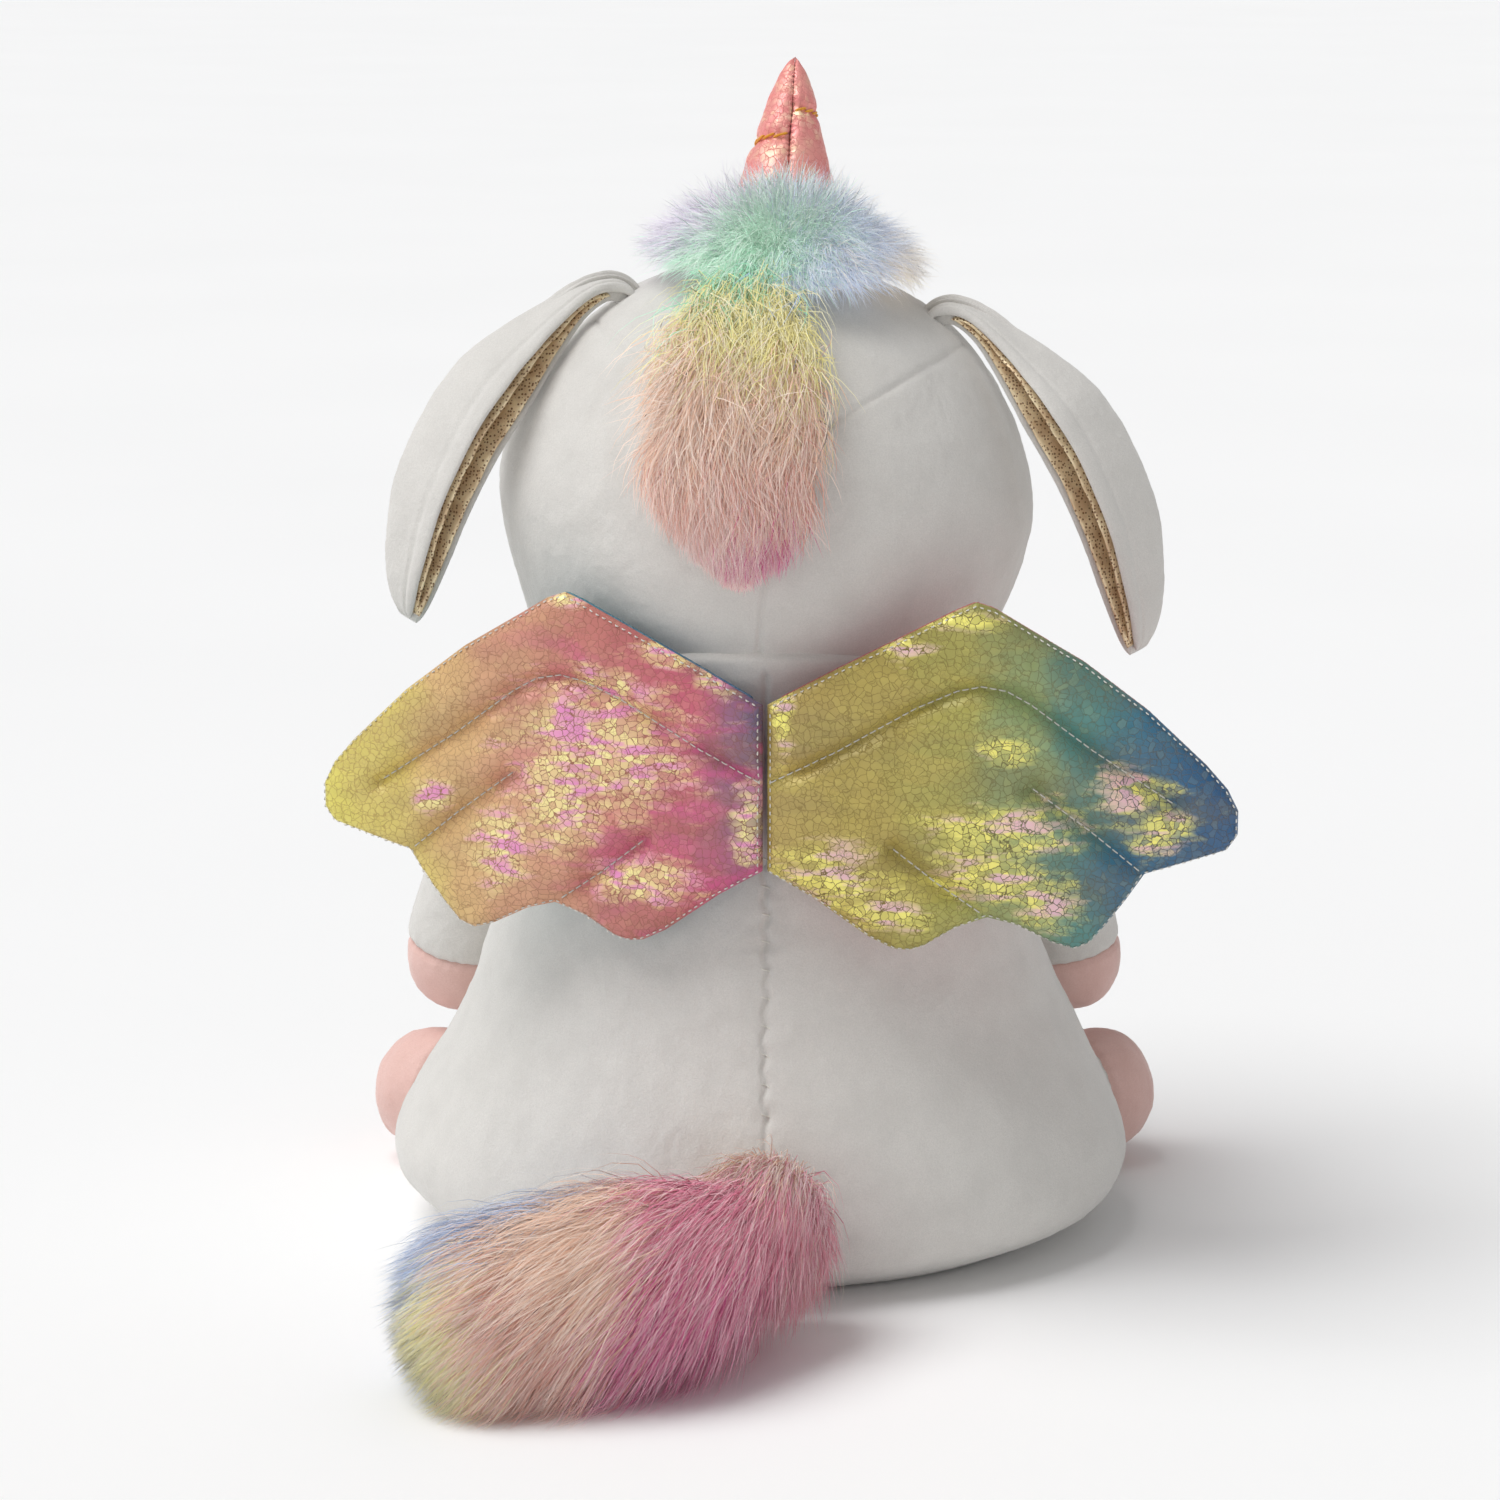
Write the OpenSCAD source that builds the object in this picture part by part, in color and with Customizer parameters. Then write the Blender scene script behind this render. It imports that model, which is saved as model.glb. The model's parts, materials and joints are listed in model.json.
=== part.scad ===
// Plush unicorn with wings, sitting upright.
// Frame: the origin is the middle of the seat on the surface that it sits on,
// +Z is up and the unicorn looks along -Y. Its own left side is +X.
// Every fabric panel is a thin shell, and its stuffing is a separate solid inside it.

/* [Body] */
// Height of the neck seam above the seat
neck_z = 211; // [205:1:214]
// Half of the width of the hips
hip_w = 127; // [120:1:132]
// How far the back of the hips stands behind the origin
hip_back = 112; // [106:1:116]
// How far the belly stands in front of the origin
belly_d = 92; // [88:1:96]
// Thickness of the plush fabric
skin = 2; // [1.6:0.1:2.2]

/* [Head] */
// Radius of the head's ball, about the point that it turns on
head_r = 88; // [86:0.5:88]
// Half of the head's width at the cheeks
cheek_w = 92; // [88:0.5:94]
// Height of the head's turning point above the seat
head_z = 249; // [247:1:252]
// Sideways lean of the head
head_tilt = 4; // [0:0.5:6]
// Length of the horn
horn_len = 72; // [60:1:76]
// Radius of the horn where it meets the head
horn_r = 20; // [16:1:22]
// Lean of the horn towards the face
horn_lean = 20; // [18:1:22]

/* [Ears] */
// Length of an ear from its root to its tip
ear_len = 134; // [120:1:138]
// How far the ear's fold arches outwards
ear_arch = 15; // [10:1:17]
// Angle between a hanging ear and the vertical
ear_splay = 32; // [30:1:35]
// Direction of the ears, from sideways towards the back
ear_back = 15; // [8:1:18]

/* [Wings] */
// Sweep of the left wing towards the face
left_sweep = 17; // [8:1:17]
// Sweep of the right wing towards the face
right_sweep = 0; // [0:1:10]
// Thickness of a padded wing
wing_t = 11; // [9:0.5:11]

/* [Limbs] */
// Slope of the arms away from the vertical
arm_slope = 13; // [12.5:0.5:16]
// Direction that the arms face, from sideways towards the front
arm_turn = 35; // [33:1:37]
// Radius of a leg
leg_r = 24; // [22:0.5:24]
// Length of a leg from its hip to the middle of its hoof
leg_len = 19; // [17:1:22]
// Direction of the legs, from sideways towards the front
leg_turn = 40; // [37:1:43]

/* [Tail] */
// Radius of the furry tail at its fullest
tail_r = 33; // [28:1:34]

/* [Hidden] */

plush_white = [0.93, 0.92, 0.90];
hoof_pink = [0.95, 0.78, 0.74];
foil_pink = [0.93, 0.50, 0.50];
foil_gold = [0.86, 0.76, 0.58];
filling = [0.98, 0.98, 0.96];
thread_white = [0.97, 0.96, 0.93];
thread_gold = [0.90, 0.65, 0.25];

// Gap between two sewn edges, and between a panel and what it covers
seam_gap = 0.15;
fill_gap = 1;
// Clearance between two surfaces that slide past each other
slide_gap = 0.5;
// Height of the base panel, and of the first ring of the body's sides
base_t = 2;
side_z = 2.4;

head_at_z = [0, 0, head_z];
cup_r = head_r + slide_gap + 0.6;
// Latitude on the head of the neck seam
rim_lat = -asin((head_z - neck_z) / (head_r + slide_gap));

// ---- Smooth curves and surfaces ----

// A point on a smooth curve through the rows of p, with t from 0 to 1
function through(p, t) =
  let (
    n = len(p) - 1,
    k = max(min(floor(t * n), n - 1), 0),
    s = t * n - k,
    a = p[max(k - 1, 0)],
    b = p[k],
    c = p[k + 1],
    d = p[min(k + 2, n)]
  )
  0.5 * (2 * b + (c - a) * s + (2 * a - 5 * b + 4 * c - d) * s * s
    + (3 * b - a - 3 * c + d) * s * s * s);

function unit(v) = v / norm(v);

// A smooth step from 0 to 1
function ease(t) = let (s = min(max(t, 0), 1)) s * s * (3 - 2 * s);

// The point of surface f at (u, v), moved outwards by d along the normal
function off(f, u, v, d, nudge = 0.01) =
  let (
    du = f(u + 0.5, v) - f(u - 0.5, v),
    dv = f(u, v + nudge) - f(u, v - nudge)
  )
  f(u, v) + d * unit(cross(du, dv));

// A panel of surface f between two angles and two heights, from depth d0 out to d1
module panel(f, us, vs, nu, nv, d0, d1, nudge = 0.01) {
  row = nv + 1;
  size = (nu + 1) * row;
  points = [
    for (d = [d1, d0], i = [0 : nu], j = [0 : nv])
      off(f, us[0] + (us[1] - us[0]) * i / nu, vs[0] + (vs[1] - vs[0]) * j / nv, d, nudge)];
  skins = [
    for (i = [0 : nu - 1], j = [0 : nv - 1])
      let (a = i * row + j, b = a + row)
      each [[a, a + 1, b + 1, b], [size + a, size + b, size + b + 1, size + a + 1]]];
  ends = [
    for (j = [0 : nv - 1])
      let (a = j, b = nu * row + j)
      each [[a, size + a, size + a + 1, a + 1], [b, b + 1, size + b + 1, size + b]]];
  hems = [
    for (i = [0 : nu - 1])
      let (a = i * row, b = i * row + nv)
      each [[a, a + row, size + a + row, size + a], [b, size + b, size + b + row, b + row]]];
  polyhedron(points, concat(skins, ends, hems));
}

// A closed solid through rings of points, each ring going round the same way
module rings(list) {
  n = len(list[0]);
  m = len(list);
  sides = [
    for (j = [0 : m - 2], i = [0 : n - 1])
      let (k = (i + 1) % n)
      [j * n + i, (j + 1) * n + i, (j + 1) * n + k, j * n + k]];
  bottom = [[for (i = [0 : n - 1]) i]];
  top = [[for (i = [0 : n - 1]) (m - 1) * n + (n - 1 - i)]];
  polyhedron([for (r = list) each r], concat(sides, bottom, top));
}

// One ring of surface f, moved outwards by d
function ring(f, v, n, d, nudge = 0.01) = [for (i = [0 : n - 1]) off(f, i * 360 / n, v, d, nudge)];

// A closed solid inside surface f between two heights
module filled(f, vs, n, m, d, nudge = 0.01) {
  rings([for (j = [0 : m]) ring(f, vs[0] + (vs[1] - vs[0]) * j / m, n, d, nudge)]);
}

// A cup of thickness t inside surface f: open at vs[0], closed at vs[1]
module cup(f, vs, n, m, t, nudge = 0.01) {
  outer = [for (j = [0 : m]) ring(f, vs[0] + (vs[1] - vs[0]) * j / m, n, 0, nudge)];
  inner = [for (j = [m : -1 : 0]) ring(f, vs[0] + (vs[1] - vs[0]) * j / m, n, -t, nudge)];
  count = (m + 1) * n;
  flip = vs[1] < vs[0];
  sides = [
    for (s = [0, 1], j = [0 : m - 1], i = [0 : n - 1])
      let (k = (i + 1) % n, a = s * count + j * n)
      [a + i, a + n + i, a + n + k, a + k]];
  hem = [
    for (i = [0 : n - 1])
      let (k = (i + 1) % n, a = count + m * n)
      [a + i, i, k, a + k]];
  tip = [[for (i = [0 : n - 1]) m * n + (n - 1 - i)]];
  floor_of = [[for (i = [0 : n - 1]) count + i]];
  faces = concat(sides, hem, tip, floor_of);
  polyhedron([for (r = concat(outer, inner)) each r],
    flip ? [for (f = faces) [for (i = [len(f) - 1 : -1 : 0]) f[i]]] : faces);
}

// ---- Body ----

// Height, half width, depth behind and depth in front, from the seat to the neck
body_rows = [
  [side_z, hip_w - 26, hip_back - 22, belly_d - 18],
  [9, hip_w - 8, hip_back - 7, belly_d - 4],
  [26, hip_w, hip_back, belly_d],
  [50, hip_w - 8, hip_back - 4, belly_d + 1],
  [82, hip_w - 24, hip_back - 20, belly_d - 3],
  [120, hip_w - 36, hip_back - 32, belly_d - 9],
  [160, hip_w - 42, hip_back - 35, belly_d - 12],
  [188, 83, 79, 80],
  [neck_z, 82, 82, 82]];

body_at = function (u, v)
  let (p = through(body_rows, v))
  [p[1] * cos(u), (sin(u) > 0 ? p[2] : p[3]) * sin(u), p[0]];

// Where a leg's ball sits, for the left side
leg_at = [104, -52, leg_r + 0.8];

module hip_sockets(r) {
  for (side = [1, -1])
    translate([side * leg_at[0], leg_at[1], leg_at[2]]) sphere(r = r, $fn = 48);
}

module body_back(side) {
  color(plush_white)
    panel(body_at, side > 0 ? [seam_gap, 90 - seam_gap] : [90 + seam_gap, 180 - seam_gap],
      [0, 1], 9, 14, -skin, 0);
}

module body_front() {
  color(plush_white) difference() {
    panel(body_at, [180 + seam_gap, 360 - seam_gap], [0, 1], 18, 14, -skin, 0);
    hip_sockets(leg_r + slide_gap);
  }
}

module base_panel() {
  edge = [for (i = [0 : 5 : 355]) body_at(i, 0)];
  color(plush_white) linear_extrude(base_t)
    polygon([for (p = edge) [p[0], p[1]]]);
}

// The pouch of pellets: a round cushion that lies on the base panel
pouch_r = 62;
pouch_h = 28;
pouch_round = 11;
pouch_wall = 0.8;

module pouch_form(grow) {
  r = pouch_round + grow;
  translate([0, 4, base_t + 0.6 + pouch_round]) rotate_extrude($fn = 72)
    union() {
      translate([0, -r]) square([pouch_r - pouch_round, pouch_h - 2 * pouch_round + 2 * r]);
      translate([pouch_r - pouch_round, 0]) circle(r = r, $fn = 32);
      translate([pouch_r - pouch_round, pouch_h - 2 * pouch_round]) circle(r = r, $fn = 32);
      square([pouch_r + grow, pouch_h - 2 * pouch_round]);
    }
}

module pellet_pouch() {
  color("white") difference() {
    pouch_form(0);
    pouch_form(-pouch_wall);
  }
}

module pellet_fill() {
  color(filling) pouch_form(-pouch_wall - 0.2);
}

// The stuffing fills the panels, with a bowl for the head's ball and a nest for the pouch
module body_stuffing() {
  count = 36;
  bowl = [
    for (lat = [rim_lat - 2.5 : -11 : -89])
      [for (i = [0 : count - 1])
        head_at_z + cup_r * [cos(lat) * cos(i * 360 / count), cos(lat) * sin(i * 360 / count), sin(lat)]]];
  wall = [for (j = [0 : 12]) ring(body_at, 0.02 + 0.96 * j / 12, count, -skin - fill_gap)];
  color(filling) difference() {
    rings(concat(wall, bowl));
    hip_sockets(leg_r + slide_gap + 0.5);
    pouch_form(0.4);
  }
}

// Ladder stitches that close the back seam
stitch_pitch = 9;
module closing_thread() {
  color(thread_white)
    for (z = [62 : stitch_pitch : 145]) {
      depth = lookup(z, [for (p = body_rows) [p[0], p[2]]]);
      translate([0, depth + 1, z + 1.5]) rotate([0, 80, 0])
        cylinder(h = 5, r = 0.5, center = true, $fn = 16);
    }
}

// The thread drawn round the neck
neck_ring_r = 1.1;
module neck_thread() {
  reach = head_r + slide_gap + neck_ring_r;
  z = neck_z + neck_ring_r + 0.4;
  color(thread_white) translate([0, 0, z]) rotate_extrude($fn = 96)
    translate([sqrt(reach * reach - (head_z - z) * (head_z - z)), 0])
      circle(r = neck_ring_r, $fn = 16);
}

// ---- Head ----

// A point at radius r from the head's turning point
function round_head(lon, lat, r) = r * [cos(lat) * cos(lon), cos(lat) * sin(lon), sin(lat)];

// The head is a ball below the cheeks, and widens sideways at them
widen_from = -13;
head_at = function (u, v)
  let (wide = head_r + (cheek_w - head_r) * ease(1 - v / widen_from))
  [wide * cos(v) * cos(u), head_r * cos(v) * sin(u), head_r * sin(v)];

module on_head() {
  translate(head_at_z) rotate([0, -head_tilt, 0]) children();
}

// How far the head reaches from its turning point in direction way, above the cheeks
function head_reach(way) =
  1 / norm([way[0] / cheek_w, way[1] / head_r, way[2] / head_r]);

// The panels' lower edge is tucked below the neck seam
tuck_lat = -38;
top_lat = 86;

module head_back(side) {
  color(plush_white) on_head()
    panel(head_at, side > 0 ? [seam_gap, 90 - seam_gap] : [90 + seam_gap, 180 - seam_gap],
      [tuck_lat, top_lat], 9, 12, -skin, 0, 0.5);
}

// Eyes: where they sit, and their sizes
eye_lon = 38;
eye_lat = 15;
eye_r = 8.5;
eye_h = 5.5;
stem_r = 2.2;
washer_r = 8;

module at_eye(side, r) {
  on_head() rotate([0, 0, -90 + side * eye_lon]) rotate([0, 90 - eye_lat, 0])
    translate([0, 0, r]) children();
}

module face_panel() {
  color(plush_white) difference() {
    on_head() panel(head_at, [180 + seam_gap, 360 - seam_gap], [tuck_lat, top_lat], 18, 12, -skin, 0, 0.5);
    for (side = [1, -1]) at_eye(side, head_r - 8) cylinder(h = 16, r = stem_r + 0.2, $fn = 32);
  }
}

eye_seat = head_r + 2.6;
module eye(side) {
  color("black") at_eye(side, eye_seat) rotate_extrude($fn = 48) union() {
    intersection() {
      translate([0, -(eye_r * eye_r - eye_h * eye_h) / (2 * eye_h)])
        circle(r = (eye_r * eye_r + eye_h * eye_h) / (2 * eye_h), $fn = 96);
      square([eye_r, eye_h]);
    }
    translate([0, -12]) square([stem_r, 12.2]);
  }
}

washer_seat = head_r - 4.6;
module eye_washers() {
  color("white") for (side = [1, -1]) at_eye(side, washer_seat) difference() {
    cylinder(h = 1.4, r = washer_r, $fn = 48);
    translate([0, 0, -1]) cylinder(h = 4, r = stem_r + 0.15, $fn = 32);
  }
}

module head_stuffing() {
  color(filling) difference() {
    on_head() filled(head_at, [-88, top_lat], 32, 14, -skin - fill_gap, 0.5);
    for (side = [1, -1]) at_eye(side, head_r - 12) cylinder(h = 24, r = washer_r + 0.6, $fn = 48);
  }
}

// The muzzle is a low dome on the front of the head
muzzle_lat = 4;
muzzle_w = 25;
muzzle_h = 18;
muzzle_out = 20;
muzzle_seat = head_r + 0.9;
muzzle_at = function (u, v)
  let (
    spread = cos(v),
    lift = muzzle_out * max(sin(v), 0)
  )
  round_head(270 + muzzle_w * spread * cos(u), muzzle_lat + muzzle_h * spread * sin(u),
    muzzle_seat + (v < 0 ? 0 : 1.2) + lift);

module muzzle_panel() {
  color(plush_white) on_head() cup(muzzle_at, [1, 87], 28, 6, 1.6, 0.5);
}

// Rings below 0 make the hollow back that lies on the head
module muzzle_stuffing() {
  back = [for (v = [-86, -65, -45, -28]) ring(muzzle_at, v, 28, 0)];
  dome = [for (v = [6 : 19.5 : 84]) ring(muzzle_at, v, 28, -1.6 - fill_gap, 0.5)];
  color(filling) on_head() rings(concat(back, dome));
}

// Embroidery lies on the muzzle: two nostrils and a mouth line
module nostril_stitching() {
  color(hoof_pink) on_head() for (a = [38, 142])
    panel(muzzle_at, [a - 10, a + 10], [46, 58], 3, 3, 0.2, 0.9, 0.5);
}

module mouth_stitching() {
  color(hoof_pink) on_head()
    panel(muzzle_at, [-145, -35], [43, 46], 12, 1, 0.2, 0.8, 0.5);
}

// ---- Horn ----

// The horn's outline, from the root to the tip, with a waist where the thread is wrapped
waists = [0.56, 0.72];
waist_pinch = 0.86;
function horn_edge(t) =
  let (pinch = min([for (w = waists) min(1, waist_pinch + (1 - waist_pinch) * ease(abs(t - w) / 0.07))]))
  pinch * (horn_r * (1 - t) * (1 - 0.12 * t) + 3.6 * sqrt(max(0, 1 - pow(t, 8))));

function horn_outline(inset) = [
  for (i = [0 : 36])
    let (t = i / 36)
    [max(horn_edge(t) - inset, 0), min(t * horn_len, horn_len - inset)]];

module at_horn() {
  on_head() rotate([horn_lean, 0, 0]) translate([0, 0, head_r + 0.6]) children();
}

horn_skin = 1.2;
module horn_half(side) {
  color(foil_pink) at_horn() rotate([0, 0, side > 0 ? -90 : 90])
    rotate_extrude(angle = 180, $fn = 64) difference() {
      polygon(concat([[0, 0]], horn_outline(0), [[0, horn_len]]));
      polygon(concat([[0, -1]], [[horn_edge(0) - horn_skin, -1]], horn_outline(horn_skin),
        [[0, horn_len - horn_skin]]));
    }
}

module horn_stuffing() {
  inset = horn_skin + fill_gap;
  color(filling) at_horn() rotate_extrude($fn = 48)
    polygon(concat([[0, 0.6], [horn_edge(0) - inset, 0.6]],
      [for (p = horn_outline(inset)) if (p[1] > 0.8) p], [[0, horn_len - inset]]));
}

module horn_thread() {
  wrap_r = 0.6;
  color(thread_gold) at_horn() for (w = waists)
    translate([0, 0, w * horn_len]) rotate_extrude($fn = 64)
      translate([horn_edge(w) + wrap_r + 0.5, 0]) circle(r = wrap_r, $fn = 16);
}

// ---- Mane ----

// A pad of fur on the head: lon and lat of its middle, half sizes in degrees, and its height
function fur_pad(c, size, h) = function (u, v)
  let (
    spread = cos(v),
    across = size[0] * spread * cos(u),
    along = size[1] * spread * sin(u),
    lift = 0.5 + h * pow(max(sin(v), 0), 0.6),
    a = c[1] + along,
    way = [sin(across + c[0]), cos(across + c[0]) * sin(a), cos(across + c[0]) * cos(a)]
  )
  (head_reach(way) + 0.8 + lift) * way;

// The crest stands behind and round the horn; the nape strip runs down the back of the head
crest_at = fur_pad([0, 4], [29, 25], 26);
nape_at = fur_pad([8, 66], [17, 31], 12);

module fur_solid(f) {
  // Rings below 0 make the hollow back that lies on the head
  rings([for (v = [-86, -66, -46, 2, 16, 34, 52, 70, 86]) ring(f, v, 26, 0)]);
}

module mane_crest() {
  color("aquamarine") on_head() difference() {
    fur_solid(crest_at);
    rotate([horn_lean, 0, 0]) cylinder(h = 200, r = horn_r + 4.4, $fn = 48);
  }
}

module mane_nape() {
  color("lightsalmon") on_head() fur_solid(nape_at);
}

// ---- Ears ----

// An ear hangs from its root, folded lengthwise with the lining inside.
// In its own frame -Z runs down the ear and +X points outwards.
ear_root_lat = 37;
ear_root_r = head_r + 8;
function ear_width(t) =
  (0.3 + 0.7 * ease(t / 0.42)) * sqrt(max(0, 1 - pow(max(0, (t - 0.5) / 0.5), 2.4))) + 0.02;

ear_at = function (u, v)
  let (
    w = ear_width(v),
    rear = [6, 21],
    fold = [33, -25],
    front = [-8, 16],
    p = w * ((1 - u) * (1 - u) * rear + 2 * u * (1 - u) * fold + u * u * front),
    arch = ear_arch * 4 * v * (1 - v)
  )
  [arch + p[0], p[1], -ear_len * v];

module at_ear(side) {
  on_head() mirror([side > 0 ? 0 : 1, 0, 0]) rotate([0, 0, ear_back]) rotate([0, ear_root_lat, 0])
    translate([0, -8, ear_root_r]) rotate([0, -ear_root_lat - ear_splay, 0]) children();
}

// A layer of the ear between two depths inside its outer face
module ear_layer(side, d0, d1) {
  n = 8;
  m = 14;
  at_ear(side) ear_sheet(n, m, d0, d1);
}

// The point of the ear at (u, v) moved inwards by d
function in_ear(u, v, d) =
  let (
    du = ear_at(u + 0.02, v) - ear_at(u - 0.02, v),
    dv = ear_at(u, v + 0.004) - ear_at(u, v - 0.004)
  )
  ear_at(u, v) - d * unit(cross(dv, du));

module ear_sheet(n, m, d0, d1) {
  row = m + 1;
  size = (n + 1) * row;
  first = 0.02;
  last = 0.985;
  points = [
    for (d = [d0, d1], i = [0 : n], j = [0 : m])
      in_ear(i / n, first + (last - first) * j / m, d)];
  faces = [
    for (i = [0 : n - 1], j = [0 : m - 1])
      let (a = i * row + j, b = a + row)
      each [[a, b, b + 1, a + 1], [size + a, size + a + 1, size + b + 1, size + b]]];
  sides = [
    for (j = [0 : m - 1])
      let (a = j, b = n * row + j)
      each [[a, a + 1, size + a + 1, size + a], [b, size + b, size + b + 1, b + 1]]];
  hems = [
    for (i = [0 : n - 1])
      let (a = i * row, b = i * row + m)
      each [[a, size + a, size + a + row, a + row], [b, b + row, size + b + row, size + b]]];
  polyhedron(points, concat(faces, sides, hems));
}

ear_skin = 2.4;
lining_t = 1.4;
module ear_outer(side) {
  color(plush_white) ear_layer(side, 0, ear_skin);
}

module ear_lining(side) {
  color(foil_gold) ear_layer(side, ear_skin + seam_gap, ear_skin + seam_gap + lining_t);
}

// ---- Wings ----

// In its own frame a wing runs along +X from its root, and lies in the XZ plane
wing_root = [0, 93, 175];
wing_outline = [
  [3, 27], [22, 38], [46, 50], [63, 58], [70, 58], [81, 52], [101, 40], [122, 24], [141, 6],
  [150, -5], [152, -14], [149, -21], [135, -26], [121, -30], [110, -45], [102, -54], [94, -53],
  [80, -47], [70, -44], [60, -48], [50, -54], [42, -55], [32, -51], [14, -38], [3, -30]];
// Three stitched lines part the wing into feathers
wing_lines = [
  [[4, 2], [22, 11], [47, 24], [66, 31], [74, 30], [84, 26], [104, 11], [129, -6]],
  [[88, -4], [104, -16], [118, -27]],
  [[39, -21], [54, -33], [68, -42]]];
wing_fabric = 1.2;
thread_w = 0.9;

module at_wing(side) {
  sweep = side > 0 ? left_sweep : right_sweep;
  translate(wing_root) mirror([side > 0 ? 0 : 1, 0, 0]) rotate([0, 0, -sweep])
    translate([1.5, 0, 0]) children();
}

// A slice of the wing's padded form, with its middle at depth y
module wing_slice(side, y, t, inset) {
  at_wing(side) translate([0, y + t / 2, 0]) rotate([90, 0, 0]) linear_extrude(t)
    offset(delta = -inset) polygon(wing_outline);
}

wing_face = wing_t / 2 - wing_fabric / 2;
module wing_back(side, tint) {
  color(tint) wing_slice(side, wing_face, wing_fabric, 0);
}

module wing_front(side, tint) {
  color(tint) wing_slice(side, -wing_face, wing_fabric, 0);
}

module wing_batting(side) {
  color(filling) wing_slice(side, 0, wing_t - 2 * wing_fabric - 2 * seam_gap, 1.5);
}

module wing_stitching(side) {
  color(thread_white) at_wing(side) for (face = [1, -1], line = wing_lines)
    translate([0, face * (wing_t / 2 + 0.4) + 0.25, 0]) rotate([90, 0, 0]) linear_extrude(0.5)
      polygon(concat([for (p = line) p + [0, thread_w / 2]],
        [for (i = [len(line) - 1 : -1 : 0]) line[i] - [0, thread_w / 2]]));
}

// ---- Arms ----

// An arm hangs along -Z of its own frame, and +X points away from the body
arm_z = 160;
arm_reach = 86.8;
// Height along the arm, half thickness and half width, from the hoof's tip to the shoulder
arm_rows = [
  [-116, 4, 4.5], [-112, 13, 14], [-104, 19, 20.5], [-90, 21.5, 23.5], [-68, 20.5, 23.5],
  [-35, 20, 23.5], [-4, 19.5, 23], [14, 16, 19], [22.5, 9, 11], [25, 3, 3.5]];
hoof_to = 0.345;
// The sewn shoulder: a boss round the joint's axis that reaches the body
shoulder_out = 6.2;
shoulder_r = 10;

arm_core = function (u, v)
  let (p = through(arm_rows, v))
  [21.6 + 0.05 * max(-p[0], 0) + p[1] * cos(u), p[2] * sin(u), p[0]];

arm_at = function (u, v)
  let (p = arm_core(u, v), boss = cos(u) < 0 ? shoulder_out * exp(-pow(norm([p[1], p[2]]) / shoulder_r, 4)) : 0)
  p - [boss, 0, 0];

module at_arm(side) {
  mirror([side > 0 ? 0 : 1, 0, 0]) rotate([0, 0, -arm_turn]) translate([arm_reach, 0, arm_z])
    rotate([0, -arm_slope, 0]) children();
}

module arm_sleeve(side) {
  color(plush_white) at_arm(side) cup(arm_at, [hoof_to, 1], 28, 16, skin);
}

module arm_hoof(side) {
  color(hoof_pink) at_arm(side) cup(arm_core, [hoof_to - 0.006, 0], 22, 5, skin);
}

module arm_stuffing(side) {
  color(filling) at_arm(side) filled(arm_core, [0.06, 0.94], 18, 11, -skin - fill_gap);
}

// ---- Legs ----

// A leg lies along +X of its own frame, from the ball in the hip to the hoof's sole
leg_end = leg_len + leg_r;
// Distance from the middle of the ball, and radius
leg_rows = [
  for (a = [-86, -68, -51, -34, -17, 0]) [leg_r * sin(a), leg_r * cos(a)],
  [leg_len * 0.5, leg_r - 0.3],
  [leg_len, leg_r],
  [leg_len + 9, leg_r],
  [leg_len + 17, leg_r - 3.5],
  [leg_end - 2.4, leg_r - 9]];
sleeve_to = 0.62;

leg_shape = function (u, v)
  let (p = through(leg_rows, v))
  [p[0], p[1] * cos(u), p[1] * sin(u)];

module at_leg(side) {
  mirror([side > 0 ? 0 : 1, 0, 0]) translate(leg_at) rotate([0, 0, -leg_turn]) children();
}

module leg_sleeve(side) {
  color(plush_white) at_leg(side) cup(leg_shape, [sleeve_to, 0], 24, 8, skin);
}

module leg_hoof(side) {
  color(hoof_pink) at_leg(side) difference() {
    cup(leg_shape, [sleeve_to + 0.006, 1], 24, 5, skin);
    translate([leg_end - 6, 0, 0]) rotate([0, 90, 0]) cylinder(h = 10, r = leg_r - 8, $fn = 48);
  }
}

// A flat disc closes the end of the hoof
module leg_sole(side) {
  color(hoof_pink) at_leg(side) translate([leg_end - 4.4, 0, 0]) rotate([0, 90, 0])
    cylinder(h = skin, r = leg_r - 8.2, $fn = 48);
}

module leg_stuffing(side) {
  color(filling) at_leg(side) filled(leg_shape, [0.03, 0.93], 18, 10, -skin - fill_gap);
}

// ---- Tail ----

// The tail leaves the back low down, and lies on the ground to the left
tail_from = [0, hip_back + 15.4, 40];
tail_mid = [22, 172, 36];
tail_to = [98, 180, 25];

function tail_line(t) =
  (1 - t) * (1 - t) * tail_from + 2 * t * (1 - t) * tail_mid + t * t * tail_to;
function tail_way(t) = unit((1 - t) * (tail_mid - tail_from) + t * (tail_to - tail_mid));

// Radius along the tail: a round root, a full middle and a round tip
root_r = 14;
function tail_radius(t) =
  let (s = min(max(t, 0), 1))
  root_r + (tail_r - root_r) * ease(s / 0.5) - 4 * ease((s - 0.6) / 0.4);

tail_at = function (u, v)
  let (
    // Below 0 the rings close round the root, and above 1 round the tip
    t = min(max(v, 0), 1),
    back = v < 0 ? v : max(v - 1, 0),
    angle = 90 * back,
    r = tail_radius(t),
    way = tail_way(t),
    side = unit(cross([0, 0, 1], way)),
    up = cross(way, side),
    c = tail_line(t) + way * r * sin(angle),
    p = c + r * cos(angle) * (cos(u) * side + sin(u) * up)
  )
  [p[0], p[1], rest_on_ground(p[2])];

// Heights below the sag flatten out just above the ground
sag = 12;
function rest_on_ground(z) = z > sag ? z : 0.4 + (sag - 0.4) * exp((z - sag) / (sag - 0.4));

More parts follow.
